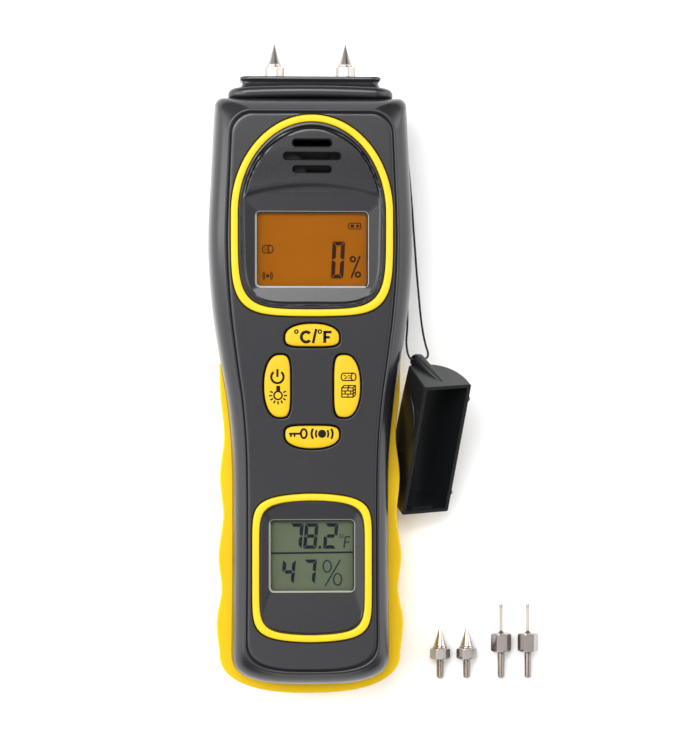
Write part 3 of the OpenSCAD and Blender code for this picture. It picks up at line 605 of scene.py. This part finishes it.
# ---------------------------------------- trim rings
# Inset and height, round the section
TRIM_SECTION = [
    (0, 32.1), (0, 33.45), (0.07, 33.66), (0.22, 33.8), (0.5, 33.88), (1.1, 33.9), (1.7, 33.88), (1.98, 33.8),
    (2.13, 33.66), (TRIM_W, 33.45), (TRIM_W, 32.1),
]
for name, outline in (("upper_trim_ring", UPPER), ("lower_trim_ring", LOWER)):
    loops = [egg(outline, inset, z) for inset, z in TRIM_SECTION]
    place(hoop(name + "_moulding", loops, [TRIM], 40), "housing", "trim_yellow", name)

# ---------------------------------------- bezels
# Width, height and middle along Y of the display openings
UPPER_OPENING = (34.8, 23, 43.5)
LOWER_OPENING = (26, 21.9, -54.05)
OPENING_R, LIP = 0.9, 0.75
FACE_STEPS = 64
# Middle along Y and width of the three slots, their height, and their edge as height and growth
SLOTS = [(77.3, 12.2), (73.1, 18), (68.9, 12.2)]
SLOT_H, SLOT_R = 1.95, 0.95
SLOT_EDGE = [(30, 0), (33, 0), (33.2, 0.08), (33.4, 0.25), (34.2, 0.9)]
RIM_Z = 33.2


def cast(centre, direction, outline):
    """Where a ray from the centre crosses a closed convex outline."""
    cx, cy = centre
    dx, dy = direction
    for (x0, y0), (x1, y1) in zip(outline, outline[1:] + outline[:1]):
        ex, ey = x1 - x0, y1 - y0
        det = dx * -ey + ex * dy
        if abs(det) < 1e-12:
            continue
        t = ((x0 - cx) * -ey + ex * (y0 - cy)) / det
        u = (dx * (y0 - cy) - dy * (x0 - cx)) / det
        if t > 0 and -1e-9 <= u <= 1 + 1e-9:
            return (cx + dx * t, cy + dy * t)
    raise ValueError("no crossing")


def opening_points(opening, grow):
    """A display opening with rounded corners, grown all round, its four sides divided evenly."""
    w, h, cy = opening
    corners = round_rect(w + 2 * grow, h + 2 * grow, OPENING_R + grow, 5, 0, cy)
    out = []
    for a, b in zip(corners, corners[1:] + corners[:1]):
        steps = 56 if math.hypot(a[0] - b[0], a[1] - b[1]) > 3 else 1
        out += [mix_xy(a, b, s / steps) for s in range(steps)]
    return out


def bezel(name, outline, opening, height, node, slots):
    """Face between a trim ring and a display opening, with slots cut through it."""
    cy = opening[2]
    inner, lip = opening_points(opening, 0), opening_points(opening, LIP)
    ring_line = [(x, y) for x, y, _ in egg(outline, TRIM_W + 0.2, 0, 360)]
    outer = [cast((0, cy), (x, y - cy), ring_line) for x, y in lip]
    shadow_width = []
    for a, b in zip(inner, lip):
        toward = Vector((b[0] - a[0], b[1] - a[1])).normalized()
        shadow_width.append(mix(0.1, 0.66, soft((max(toward.x, toward.y) + 0.2) / 0.9)))
    # A painted shadow: a dark band, wider on the upper and right sides, then the chamfer's painted highlight
    loops = [at_height(inner, 31.95), at_height(inner, 31.98)]
    for z, more in ((32.0, 0), (32.16, 0.02)):
        loops.append(at_height([mix_xy(a, b, t + more) for a, b, t in zip(inner, lip, shadow_width)], z))
    loops.append(at_height([mix_xy(a, b, 0.93) for a, b in zip(inner, lip)], 32.24))
    for k in range(FACE_STEPS + 1):
        row = []
        for a, b in zip(lip, outer):
            x, y = mix_xy(a, b, k / FACE_STEPS)
            row.append((x, y, height(x, y, math.hypot(b[0] - x, b[1] - y))))
        loops.append(row)
    loops.append(at_height(outer, 32.1))
    loops.append(at_height([mix_xy(a, b, 0.5) for a, b in zip(inner, outer)], 31.96))
    mats = [BEZEL_SHADE, EDGE_HIGHLIGHT, GAP_SHADE]
    ob = hoop(name, loops, mats, 28, [2, 2, 2, 1, 1] + [0] * (len(loops) - 5))
    # The slots' walls take the painted shade of the gaps.
    for y, w in slots:
        loops = []
        for z, f in SLOT_EDGE:
            loops.append(at_height(round_rect(w + 2 * f, SLOT_H + 2 * f, SLOT_R + f, 10, 0, y), z))
        boolean(ob, rings("cutter", loops, mats, ring_mats=[2, 2, 0, 0]), smooth=28)
    place(ob, "housing", "case_plastic", node, normals=False)


def upper_height(x, y, d):
    """Height of the upper face, d inside the ring: a dome, and below its crease slopes to the display."""
    crease = 65 - 2.5 * (x / 19.5) ** 2
    dome = 33.42 + 0.25 * soft((y - crease) / 12) - 0.12 * (x / 22) ** 2
    side = min(max((abs(x) - 18.15) / 3.4, 0), 1.2)
    below = max((31.25 - y) / 5.4, 0)
    above = min(max((y - 55.75) / 5.5, 0), 1)
    z = 32.3 + max(0.3 * side, 0.9 * below, 0.55 * above)
    z = dome if y > crease else mix(dome, z, soft((crease - y) / 2.2))
    # Ledge and groove inside the ring, deep around the dome and shallow below it
    deep = mix(0.3, 1, soft((y - 58) / 7)) if y > 40 else mix(0.3, 0.65, soft((32 - y) / 5))
    groove = RIM_Z - 0.85 * deep
    if d >= 2.3:
        return z
    if d > 1.55:
        return mix(z, groove, soft((2.3 - d) / 0.75))
    if d > 1.1:
        return groove
    if d > 0.85:
        return mix(RIM_Z, groove, soft((d - 0.85) / 0.25))
    return RIM_Z - 0.12 * soft((0.25 - d) / 0.25)


def lower_height(x, y, d):
    """Height of the lower face: slopes to the display, and a rim along the ring."""
    side = (abs(x) - 13.75) / 2.4
    below = (-65.85 - y) / 6.6
    above = (y + 42.25) / 4.2
    z = 32.3 + max(0.55 * min(side, 1), 0.5 * below, 0.55 * above, 0)
    return mix(z, 32.95, soft((0.6 - d) / 0.35)) if d < 0.6 else z


bezel("upper_display_bezel", UPPER, UPPER_OPENING, upper_height, "upper_bezel", SLOTS)
bezel("lower_display_bezel", LOWER, LOWER_OPENING, lower_height, "lower_bezel", [])

# ---------------------------------------- flat figures
FIG_T = 0.03


class Figure:
    """Flat printed shapes a hair thick: strokes, rings, polygons."""

    def __init__(self, z):
        self.z, self.verts, self.faces = z, [], []

    def polygon(self, pts):
        n = len(pts)
        s = len(self.verts)
        self.verts += at_height(pts, self.z) + at_height(pts, self.z + FIG_T)
        self.faces.append(tuple(range(s, s + n))[::-1])
        self.faces.append(tuple(range(s + n, s + 2 * n)))
        self.faces += [(s + i, s + (i + 1) % n, s + n + (i + 1) % n, s + n + i) for i in range(n)]

    def rectangle(self, x0, y0, x1, y1):
        self.polygon([(x0, y0), (x1, y0), (x1, y1), (x0, y1)])

    def line(self, x0, y0, x1, y1, w):
        d = Vector((x1 - x0, y1 - y0)).normalized() * w / 2
        self.polygon([(x0 + d.y, y0 - d.x), (x1 + d.y, y1 - d.x), (x1 - d.y, y1 + d.x), (x0 - d.y, y0 + d.x)])

    def lines(self, points, w):
        """One stroke for each pair of neighbouring points."""
        for a, b in zip(points, points[1:]):
            self.line(*a, *b, w)

    def arc(self, cx, cy, rx, ry, w, a0=0, a1=360, n=40):
        s = len(self.verts)
        closed = a1 - a0 >= 360
        count = n if closed else n + 1
        for i in range(count):
            a = math.radians(a0 + (a1 - a0) * i / n)
            for k in (-1, 1):
                x, y = cx + (rx + k * w / 2) * math.cos(a), cy + (ry + k * w / 2) * math.sin(a)
                self.verts += [(x, y, self.z), (x, y, self.z + FIG_T)]
        for i in range(n):
            a, b = s + 4 * i, s + 4 * ((i + 1) % count)
            self.faces += [(a + 1, a + 3, b + 3, b + 1), (a, b, b + 2, a + 2)]
            self.faces += [(a, a + 1, b + 1, b), (a + 2, b + 2, b + 3, a + 3)]
        if not closed:
            e = s + 4 * n
            self.faces += [(s, s + 2, s + 3, s + 1), (e, e + 1, e + 3, e + 2)]

    def disc(self, cx, cy, r, n=32):
        self.polygon([(cx + r * math.cos(a), cy + r * math.sin(a)) for a in turn_angles(n)])

    def digit(self, x, y, w, h, which, t, lean=0.09):
        """Seven-segment digit with its lower left corner at x, y."""
        g, m = 0.14 * t, h / 2
        shapes = {
            "a": [(g, h), (w - g, h), (w - t, h - t), (t, h - t)],
            "d": [(t, t), (w - t, t), (w - g, 0), (g, 0)],
            "f": [(0, h - g), (0, m + g), (t * 0.5, m + g), (t, m + t * 0.5 + g), (t, h - t - g)],
            "b": [(w, h - g), (w - t, h - t - g), (w - t, m + t * 0.5 + g), (w - t * 0.5, m + g), (w, m + g)],
            "e": [(0, g), (t, t + g), (t, m - t * 0.5 - g), (t * 0.5, m - g), (0, m - g)],
            "c": [(w, g), (w, m - g), (w - t * 0.5, m - g), (w - t, m - t * 0.5 - g), (w - t, t + g)],
            "g": [(t * 0.7, m), (t * 1.1, m + t * 0.5), (w - t * 1.1, m + t * 0.5), (w - t * 0.7, m),
                  (w - t * 1.1, m - t * 0.5), (t * 1.1, m - t * 0.5)],
        }
        for s in which:
            self.polygon([(x + px + lean * py, y + py) for px, py in shapes[s]])

    def percent(self, x, y, w, h, t, tall=1.0):
        r = w * 0.2
        self.arc(x + r + t / 2, y + h - r * tall - t / 2, r, r * tall, t)
        self.arc(x + w - r - t / 2, y + r * tall + t / 2, r, r * tall, t)
        self.line(x + w * 0.14, y, x + w * 0.9, y + h, t)

    def log(self, x, y, w, h, t):
        """A sawn log seen from one end."""
        end = h * 0.32
        self.arc(x + w - end, y, end, h / 2, t, n=28)
        self.arc(x + end, y, end, h / 2, t, 90, 270, 20)
        for edge in (y + h / 2, y - h / 2):
            self.line(x + end, edge, x + w - end, edge, t)
        for dx, dy in ((0.16, 0.2), (0.3, -0.02), (0.2, -0.25), (0.46, 0.18), (0.48, -0.2)):
            self.line(x + w * dx, y + h * dy, x + w * (dx + 0.15), y + h * dy * 0.7, t * 0.8)

    def waves(self, x, y, r, gap, reach, t):
        """A dot with two waves to each side."""
        self.disc(x, y, r)
        for rx in (r + gap, r + gap * 2):
            for a in (0, 180):
                self.arc(x, y, rx, rx * 1.25, t, a - reach, a + reach, 12)

    def done(self, name, mat, body, slot):
        place(build(name, self.verts, self.faces, [mat], 30), body, slot, normals=False)


def on_display(node):
    return Figure(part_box(node)[1][2] / MM + 0.01)


fig = on_display("upper_lcd")
fig.digit(6.1, 34.3, 4.0, 11.8, "abcdef", 1.28, 0.05)
fig.percent(12.1, 34.5, 3.7, 7.0, 0.6)
# Battery sign
for y in (50.1, 51.95):
    fig.line(12.0, y, 15.7, y, 0.3)
fig.line(15.6, 50.1, 15.6, 51.95, 0.3)
fig.lines([(12.05, 50.1), (11.5, 51.0), (12.05, 51.95)], 0.3)
fig.rectangle(12.4, 50.55, 13.5, 51.5)
fig.rectangle(14.2, 50.6, 15.1, 51.45)
fig.log(-15.75, 43.6, 3.4, 2.4, 0.32)
fig.waves(-14.05, 35.1, 0.55, 0.48, 46, 0.3)
fig.done("upper_display_figures", SEGMENT_WARM, "housing", "amber_display")

fig = on_display("lower_lcd")
for x, w, which in ((-7.5, 4.25, "abc"), (-2.8, 4.3, "abcdefg"), (3.55, 4.3, "abdeg")):
    fig.digit(x, -51.9, w, 8.1, which, 1.12)
fig.disc(2.6, -51.45, 0.5, 20)
for x, which in ((-9.8, "bcfg"), (-3.1, "abc")):
    fig.digit(x, -63.2, 4.1, 7.9, which, 1.12)
fig.polygon([(-13.2, -53.6), (13.2, -53.35), (13.2, -52.75), (-13.2, -53.0)])
fig.done("lower_display_figures", SEGMENT_COOL, "housing", "green_display")

fig = on_display("lower_lcd")
fig.percent(3.4, -63.8, 6.4, 8.4, 0.5, 1.45)
fig.arc(9.5, -47.9, 0.55, 0.55, 0.28, n=20)
fig.lines([(10.3, -51.7), (10.75, -48.1), (12.3, -48.1)], 0.5)
fig.line(10.6, -49.8, 12, -49.8, 0.5)
fig.done("lower_display_units", SEGMENT_THIN, "housing", "green_display")

# ---------------------------------------- keys
# Growth and height. The part below the case's face is painted near black as shade.
KEY_SECTION = [
    (-0.8, 26.5), (-0.8, 29.9), (0.75, 29.9), (0.75, 30.7), (0, 30.7), (0, 33.6), (0, 34.2), (-0.05, 34.42),
    (-0.16, 34.58), (-0.34, 34.7), (-0.8, 34.8), (-1.3, 34.86), (-2, 34.88),
]
for k, label in enumerate(KEYS):
    loops = [key_loop(k, grow, z) for grow, z in KEY_SECTION]
    bands = [1 if z < 33 else 0 for _, z in KEY_SECTION[:-1]]
    key = rings("key_" + label + "_cap", loops, [KEY, GAP_SHADE], smooth=40, ring_mats=bands)
    place(key, "key_" + label, "key_rubber", "key_" + label, normals=False)

KEY_Z = 34.885
# Two temperature scales
fig = Figure(KEY_Z)
for x in (-5.08, 2.39):
    fig.arc(x, 17.3, 0.52, 0.52, 0.42, n=24)
fig.arc(-1.95, 15.6, 1.55, 1.6, 0.95, 42, 318, 32)
fig.line(0.22, 13.65, 1.25, 18.15, 0.8)
fig.line(3.95, 13.75, 3.95, 17.55, 0.95)
fig.line(3.7, 17.15, 6.1, 17.15, 0.84)
fig.line(3.7, 15.5, 5.55, 15.5, 0.8)
fig.done("key_units_print", INK, "key_units", "key_rubber")

# Power sign, and a lamp with nine rays
fig = Figure(KEY_Z)
fig.arc(-11.08, 2.92, 1.95, 1.95, 0.72, 128, 412, 34)
fig.line(-11.08, 2.92, -11.08, 5.4, 0.72)
fig.polygon([(-11.45, -1.65), (-10.2, -1.65), (-10.2, -0.1), (-10.45, 0.15), (-11.2, 0.15), (-11.45, -0.1)])
lamp_x, lamp_y = -10.89, -2.96
fig.arc(lamp_x, lamp_y, 1.28, 1.28, 0.52, n=36)
for i in range(9):
    a = math.radians(152 + 29.6 * i)
    (x0, y0), (x1, y1) = ((lamp_x + r * math.cos(a), lamp_y + r * math.sin(a)) for r in (1.85, 2.85))
    fig.line(x0, y0, x1, y1, 0.48)
fig.done("key_power_print", INK, "key_power", "key_rubber")

# Log, and a block of brickwork in three courses with its top and right side
fig = Figure(KEY_Z)
fig.log(9.2, 2.93, 4.65, 2.35, 0.4)
wall_x, wall_y, wall_w, wall_h, wall_d = 9.35, -3.5, 3.6, 2.95, 0.75
wall_r = wall_x + wall_w
fig.line(wall_x - 0.15, wall_y, wall_r + 0.1, wall_y, 0.38)
for course, joints in enumerate(((0, 0.55, 1), (0, 0.3, 0.78, 1), (0, 0.55, 1))):
    y0, y1 = wall_y + wall_h * course / 3, wall_y + wall_h * (course + 1) / 3
    fig.line(wall_x - 0.15, y1, wall_r + 0.1, y1, 0.36)
    for c in joints:
        fig.line(wall_x + wall_w * c, y0, wall_x + wall_w * c, y1, 0.36)
top = wall_y + wall_h
for c in (0, 0.5, 1):
    fig.line(wall_x + wall_w * c, top, wall_x + wall_w * c + wall_d, top + wall_d, 0.36)
fig.line(wall_x + 0.7, top + wall_d, wall_r + 0.8, top + wall_d, 0.36)
for y0 in (wall_y + wall_h * course / 3 for course in range(3)):
    fig.line(wall_r, y0, wall_r + wall_d, y0 + wall_d, 0.36)
fig.line(wall_r + wall_d, wall_y + 0.7, wall_r + wall_d, top + 0.8, 0.36)
fig.done("key_mode_print", INK, "key_mode", "key_rubber")

# Key, and a dot with waves
fig = Figure(KEY_Z)
fig.line(-7.4, -15.08, -3.5, -15.08, 0.64)
for x in (-6.8, -5.65):
    fig.line(x, -15.08, x, -16.1, 0.56)
fig.arc(-2.7, -15.08, 0.92, 1.42, 0.66, n=32)
fig.disc(3.1, -15.12, 1.3)
for a in (0, 180):
    fig.arc(3.1, -15.12, 1.98, 2.2, 0.62, a - 32, a + 32, 12)
    fig.arc(3.1, -15.12, 3.35, 3.1, 0.68, a - 31, a + 31, 14)
fig.done("key_hold_print", INK, "key_hold", "key_rubber")

# ---------------------------------------- pins
HEX_FLAT = 2.9
HEX_EDGE = [(0.05, 2.72), (0.2, 3.0), (0.42, 3.26), (0.55, 3.4)]  # depth and largest radius, down the chamfer
PITCH, ROOT_R, THREAD_H = 0.5, 1.08, 0.27
# Lengths of the thread and of the hexagon, then height and radius along the tip
CONE = (6.3, 3.7, [
    (0, 2.32), (0.08, 2.36), (0.5, 2.36), (0.62, 2.26), (0.75, 2.12), (2, 1.72), (4, 1.1), (6, 0.5),
    (7.1, 0.19), (7.5, 0.08), (7.6, 0.02),
])
NEEDLE = (8.7, 6.2, [
    (0, 1.1), (0.12, 1.04), (0.5, 0.72), (0.8, 0.52), (8.2, 0.5), (8.55, 0.56), (9.0, 0.6), (10, 0.44),
    (11, 0.24), (11.55, 0.12), (11.7, 0.03),
])


def hexagon(limit, turn):
    """Radius by angle of a hexagon whose corners are cut at a limit."""
    def at(a):
        b = ((math.degrees(a) + turn) % 60) - 30
        return min(HEX_FLAT / math.cos(math.radians(b)), limit)
    return at


def pin(name, node, origin, shape, turn=0):
    """Pin along +Y: thread, hexagon, then a cone or a needle. The origin is the hexagon's lower face."""
    thread, hex_l, tip = shape
    n = 48
    turns = int(thread / PITCH * 8)
    loops = []
    for k in range(turns + 1):
        y = -thread + thread * k / turns
        fade = min((y + thread) / 0.7, 1) * min(-y / 0.5, 1) if y < 0 else 0
        taper = 0.22 * (1 - min((y + thread) / 0.35, 1))
        loop = []
        for i, a in enumerate(turn_angles(n)):
            across = abs(((y / PITCH - i / n) % 1) * 2 - 1)
            r = ROOT_R + THREAD_H * (1 - across) * fade - taper
            loop.append((origin[0] + r * math.cos(a), origin[1] + y, origin[2] - r * math.sin(a)))
        loops.append(loop)
    edge = [(y, hexagon(limit, turn)) for y, limit in HEX_EDGE]
    steps = [(0, 1.3), (0.001, 2.55)] + edge + [(hex_l - y, r) for y, r in edge[::-1]] + [(hex_l, 2.55)]
    steps += [(hex_l + y, r) for y, r in tip]
    loops += lathe(steps, n, origin, "y")
    place(rings(name, loops, [NICKEL], smooth=24), node, "nickel", node)


for hand, x in (("left", -PIN_X), ("right", PIN_X)):
    pin("contact_pin_%s_turned" % hand, "contact_pin_" + hand, (x, PIN_Y, PIN_Z), CONE, 18)
for kind, shape, y, places in (("cone", CONE, -90.3, (43.6, 52.4)), ("needle", NEEDLE, -88, (63.8, 72.7))):
    for i, x in enumerate(places, 1):
        pin("spare_%s_turned_%d" % (kind, i), "spare_%s_pin_%d" % (kind, i), (x, y, 2.9), shape)

# ---------------------------------------- pin cap
# In the cap's own frame: the rim at z = 0, the cap below it, X across the thickness and Y along the width
CAP_W, CAP_T, CAP_D, CAP_BOW, CAP_WALL = 48.2, 16.4, 14.8, 1.5, 1.2
CAP_AT, CAP_TURN = (40.5, -20.8, 23.35), (31, 18.5, 3.5)
SQUARE = ((-1, -1), (1, -1), (1, 1), (-1, 1))


def cap_profile(t, depth, lip):
    """Section across the cap: a flat wall on the left, a small radius, and a broad curve to the right."""
    a, x0, q = 0.85 * t, -0.35 * t, 0.8
    out = [(-t / 2, mix(lip, -depth + 2, s / 12)) for s in range(12)]
    out += [(-t / 2 + x, -depth + z) for x, z in ((0, 2), (0.15, 1.2), (0.6, 0.55), (1.25, 0.15), (2, 0))]
    for b in (math.radians(3 * i) for i in range(30)):
        out.append((x0 + a * math.sin(b) ** q, -depth * math.cos(b) ** q))
    return out + [(t / 2, 0 if lip else -0.3), (t / 2, lip)]


def cap_block(w, t, depth, bow, lip, soften):
    """The profile along the width, deeper in the middle, with its two ends softened."""
    ends = [(-1, 0)]
    if soften:
        ends = [(-1, soften), (-1 + 0.5 * soften / w * 2, soften * 0.3), (-1 + soften / w * 2, 0)]
    between = [(-0.9 + 1.8 * k / 22, 0) for k in range(23)]
    loops = []
    for s, e in ends + between + [(-s, e) for s, e in ends[::-1]]:
        d = depth + bow * (1 - s * s)
        loops.append([(x, s * w / 2, z) for x, z in cap_profile(t - 2 * e, d - e, lip)])
    return loops


def nub(side, y, slant, wide, high, steps):
    """Small block on one broad wall, near the rim. Its steps are distance out of the wall and size."""
    loops = []
    for d, f in steps:
        x = side * (CAP_T / 2 - 0.3 + d)
        loops.append([(x, y - slant * d + e * wide * f, -1.4 + g * high * f) for e, g in SQUARE])
    return rings("nub", loops, [CAP])


def lug():
    """Half cone on the upper end wall, with the lanyard's hole through it."""
    loops = []
    for s in range(15):
        t = s / 14
        r, half = mix(0.35, 2.9, t ** 0.9), mix(0.5, 2.1, t ** 0.7)
        c = Vector((mix(-0.6, -4.2, t), CAP_W / 2 - 0.35 + 0.25 * t, mix(-2.8, -15.6, t)))
        loop = []
        for a in turn_angles(36):
            u, v = math.cos(a), math.sin(a)
            out = half * math.copysign(abs(u) ** 0.55, u)
            loop.append((c.x + out, c.y + (r * v if v > 0 else -0.9), c.z))
        loops.append(loop)
    x, y, z = Vector((-4.2, CAP_W / 2 - 0.1, -15.6))
    end = loops[-1]
    for drop, k in ((0.8, 0.94), (1.5, 0.8), (2.1, 0.58), (2.4, 0.3)):
        loops.append([(mix(x, p[0], 0.6 + 0.4 * k), mix(y, p[1], k), z - drop) for p in end])
    ob = rings("lug", loops, [CAP], smooth=40)
    hole = [(CAP_W / 2 + 1.3 + 0.85 * math.cos(a), -15.4 + 0.85 * math.sin(a)) for a in turn_angles(24)]
    boolean(ob, rings("cutter", [[(x, y, z) for y, z in hole] for x in (-9, 2)], [CAP]), smooth=40)
    return ob


def thumb_arc():
    """Raised arc on the broad flat wall."""
    loops = []
    for i in range(33):
        a = math.radians(-62 + 124 * i / 32)
        c = Vector((-CAP_T / 2 + 0.05, 5.5 + 13 * math.sin(a) * 0.9, -14.5 + 12.4 * math.cos(a)))
        o = Vector((0, math.sin(a), math.cos(a)))
        loop = [c + o * 0.32 * math.cos(b) + Vector((-0.3 * math.sin(b), 0, 0)) for b in turn_angles(10)]
        loops.append(loop)
    return rings("arc", loops, [CAP], smooth=60)


cap_ob = rings("cap_outer", cap_block(CAP_W, CAP_T, CAP_D, CAP_BOW, 0, 0.45), [CAP], smooth=30)
hollow = cap_block(CAP_W - 2 * CAP_WALL, CAP_T - 2 * CAP_WALL, CAP_D - CAP_WALL, CAP_BOW, 1, 0)
boolean(cap_ob, rings("cutter", hollow, [CAP], smooth=30))
bevel = cap_ob.modifiers.new("bevel", "BEVEL")
bevel.width = 0.18 * MM
bevel.segments = 2
bevel.limit_method = "ANGLE"
bevel.angle_limit = math.radians(50)
apply_modifiers(cap_ob)
shade(cap_ob, 30)

parts = [cap_ob, lug()]
# Two snap nubs on the curved wall, one on the flat wall, and a stop at the lower end
for y in (-17, 18.5):
    parts.append(nub(1, y, 0.5, 1.4, 0.9, ((0, 1.1), (0.7, 0.7), (1.35, 0.25))))
parts.append(nub(-1, 14, 0, 1.3, 0.6, ((0, 1.1), (0.35, 0.8), (0.75, 0.35))))
inside = -CAP_W / 2 + CAP_WALL
parts.append(box((-4.5, inside - 0.2, -2.2), (3, inside + 0.7, -1.2), CAP))
parts.append(thumb_arc())
cap_ob = join(parts, "pin_cap_moulding")
turned = Euler([math.radians(a) for a in CAP_TURN], "XYZ").to_matrix().to_4x4()
cap_ob.data.transform(Matrix.Translation(Vector(CAP_AT) * MM) @ turned)
shade(cap_ob, 30)
place(cap_ob, "pin_cap", "cap_plastic", "pin_cap")

# ---------------------------------------- nodes shown as they are in the CAD
CARRIED = {
    AMBER: ["upper_lcd"],
    GREEN: ["lower_lcd"],
    WINDOW: ["upper_window", "lower_window"],
    GUIDE: ["upper_backlight"],
    STRIP: ["upper_contact_strips", "lower_contact_strips", "keypad_mat"],
    BOARD: ["main_board"],
    BLACK: ["controller_chip", "measuring_chip", "battery_snap"],
    SLEEVE: ["board_capacitors"],
    # The buzzer is painted near black as shade, so the slot over it reads dark.
    GAP_SHADE: ["buzzer"],
    SENSOR: ["humidity_sensor"],
    CARBON: ["key_units_pill", "key_power_pill", "key_mode_pill", "key_hold_pill"],
    BRASS: ["pin_sockets"],
    WIRE: ["pin_leads", "battery_leads"],
    BATTERY: ["battery"],
    FOAM: ["battery_foam"],
    CASE: ["battery_door"],
    STEEL: ["clock_crystal", "case_screws", "board_screws", "lanyard_bar"],
}
for mat, nodes in CARRIED.items():
    for node in nodes:
        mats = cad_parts[node].data.materials
        mats.clear()
        mats.append(mat)

# ---------------------------------------- floor and light
floor_me = bpy.data.meshes.new("floor")
bm = bmesh.new()
bmesh.ops.create_grid(bm, x_segments=8, y_segments=8, size=3)
bm.to_mesh(floor_me)
bm.free()
floor = bpy.data.objects.new("floor", floor_me)
floor.location = (0, 0, -0.0002)
scene.collection.objects.link(floor)
floor_me.materials.append(material("pale_floor", srgb(250, 250, 250), 0.9, 3, 0.02, 0.01))


def area(name, at, aim, w, h, power):
    data = bpy.data.lights.new(name, "AREA")
    data.shape = "RECTANGLE"
    data.size, data.size_y, data.energy = w, h, power
    ob = bpy.data.objects.new(name, data)
    ob.location = at
    ob.rotation_euler = (Vector(aim) - Vector(at)).to_track_quat("-Z", "Y").to_euler()
    scene.collection.objects.link(ob)


area("top_soft", (-0.12, 0.42, 0.95), (0, 0.02, 0), 0.7, 0.22, 3.2)
area("left_strip", (-0.75, 0.1, 0.45), (0, 0, 0.02), 0.16, 1.2, 2.4)

# Studio tent. It is dark straight overhead, where the lens is. Across, it is bright on the left, dim a little
# to the right and bright again at the far right. Along, it is brightest on the pins' side of the middle, and
# dark towards both horizons. Each pair is a direction component and a factor.
TENT_UP = [
    (0.0, 0.5), (0.6, 0.8), (0.9, 1.0), (0.965, 0.82), (0.984, 0.84), (0.9925, 0.9), (0.998, 0.14),
    (1.0, 0.02),
]
TENT_ACROSS = [
    (-1, 1.2), (-0.6, 1.05), (-0.2, 1.1), (-0.08, 1.25), (-0.03, 1.0), (0.05, 0.95), (0.1, 0.45), (0.2, 0.25),
    (0.4, 0.4), (1, 1.5),
]
TENT_ALONG = [
    (-1, 0.15), (-0.65, 0.22), (-0.45, 0.45), (-0.28, 0.8), (-0.17, 1.0), (-0.1, 1.25), (0.0, 0.95),
    (0.1, 1.3), (0.25, 1.9), (0.42, 1.7), (0.55, 0.8), (0.66, 0.35), (1, 0.35),
]
TENT_STRENGTH = 9.0

world = bpy.data.worlds.new("studio")
scene.world = world
world.use_nodes = True
wt = world.node_tree
bg = wt.nodes["Background"]
co = wt.nodes.new("ShaderNodeTexCoord")
sep = wt.nodes.new("ShaderNodeSeparateXYZ")
wt.links.new(co.outputs["Generated"], sep.inputs["Vector"])
ramp = wt.nodes.new("ShaderNodeValToRGB")
while len(ramp.color_ramp.elements) < len(TENT_UP):
    ramp.color_ramp.elements.new(0.5)
for stop, (at, v) in zip(ramp.color_ramp.elements, TENT_UP):
    stop.position = at
    stop.color = (v, v, v, 1)
wt.links.new(sep.outputs["Z"], ramp.inputs["Fac"])


def factor(axis, points):
    """Brightness factor along one axis of the view direction. The curve itself runs from 0 to 1 both ways."""
    node = wt.nodes.new("ShaderNodeFloatCurve")
    shift = wt.nodes.new("ShaderNodeMapRange")
    shift.inputs["From Min"].default_value = -1
    wt.links.new(sep.outputs[axis], shift.inputs["Value"])
    wt.links.new(shift.outputs["Result"], node.inputs["Value"])
    curve = node.mapping.curves[0]
    first, *between, last = ((at / 2 + 0.5, v / 2) for at, v in points)
    curve.points[0].location = first
    curve.points[1].location = last
    for at, v in between:
        curve.points.new(at, v)
    node.mapping.update()
    return node.outputs["Value"]


def times(value, other):
    node = wt.nodes.new("ShaderNodeMath")
    node.operation = "MULTIPLY"
    wt.links.new(value, node.inputs[0])
    if isinstance(other, float):
        node.inputs[1].default_value = other
    else:
        wt.links.new(other, node.inputs[1])
    return node.outputs["Value"]


strength = times(times(factor("X", TENT_ACROSS), factor("Y", TENT_ALONG)), TENT_STRENGTH)
wt.links.new(strength, bg.inputs["Strength"])
wt.links.new(ramp.outputs["Color"], bg.inputs["Color"])
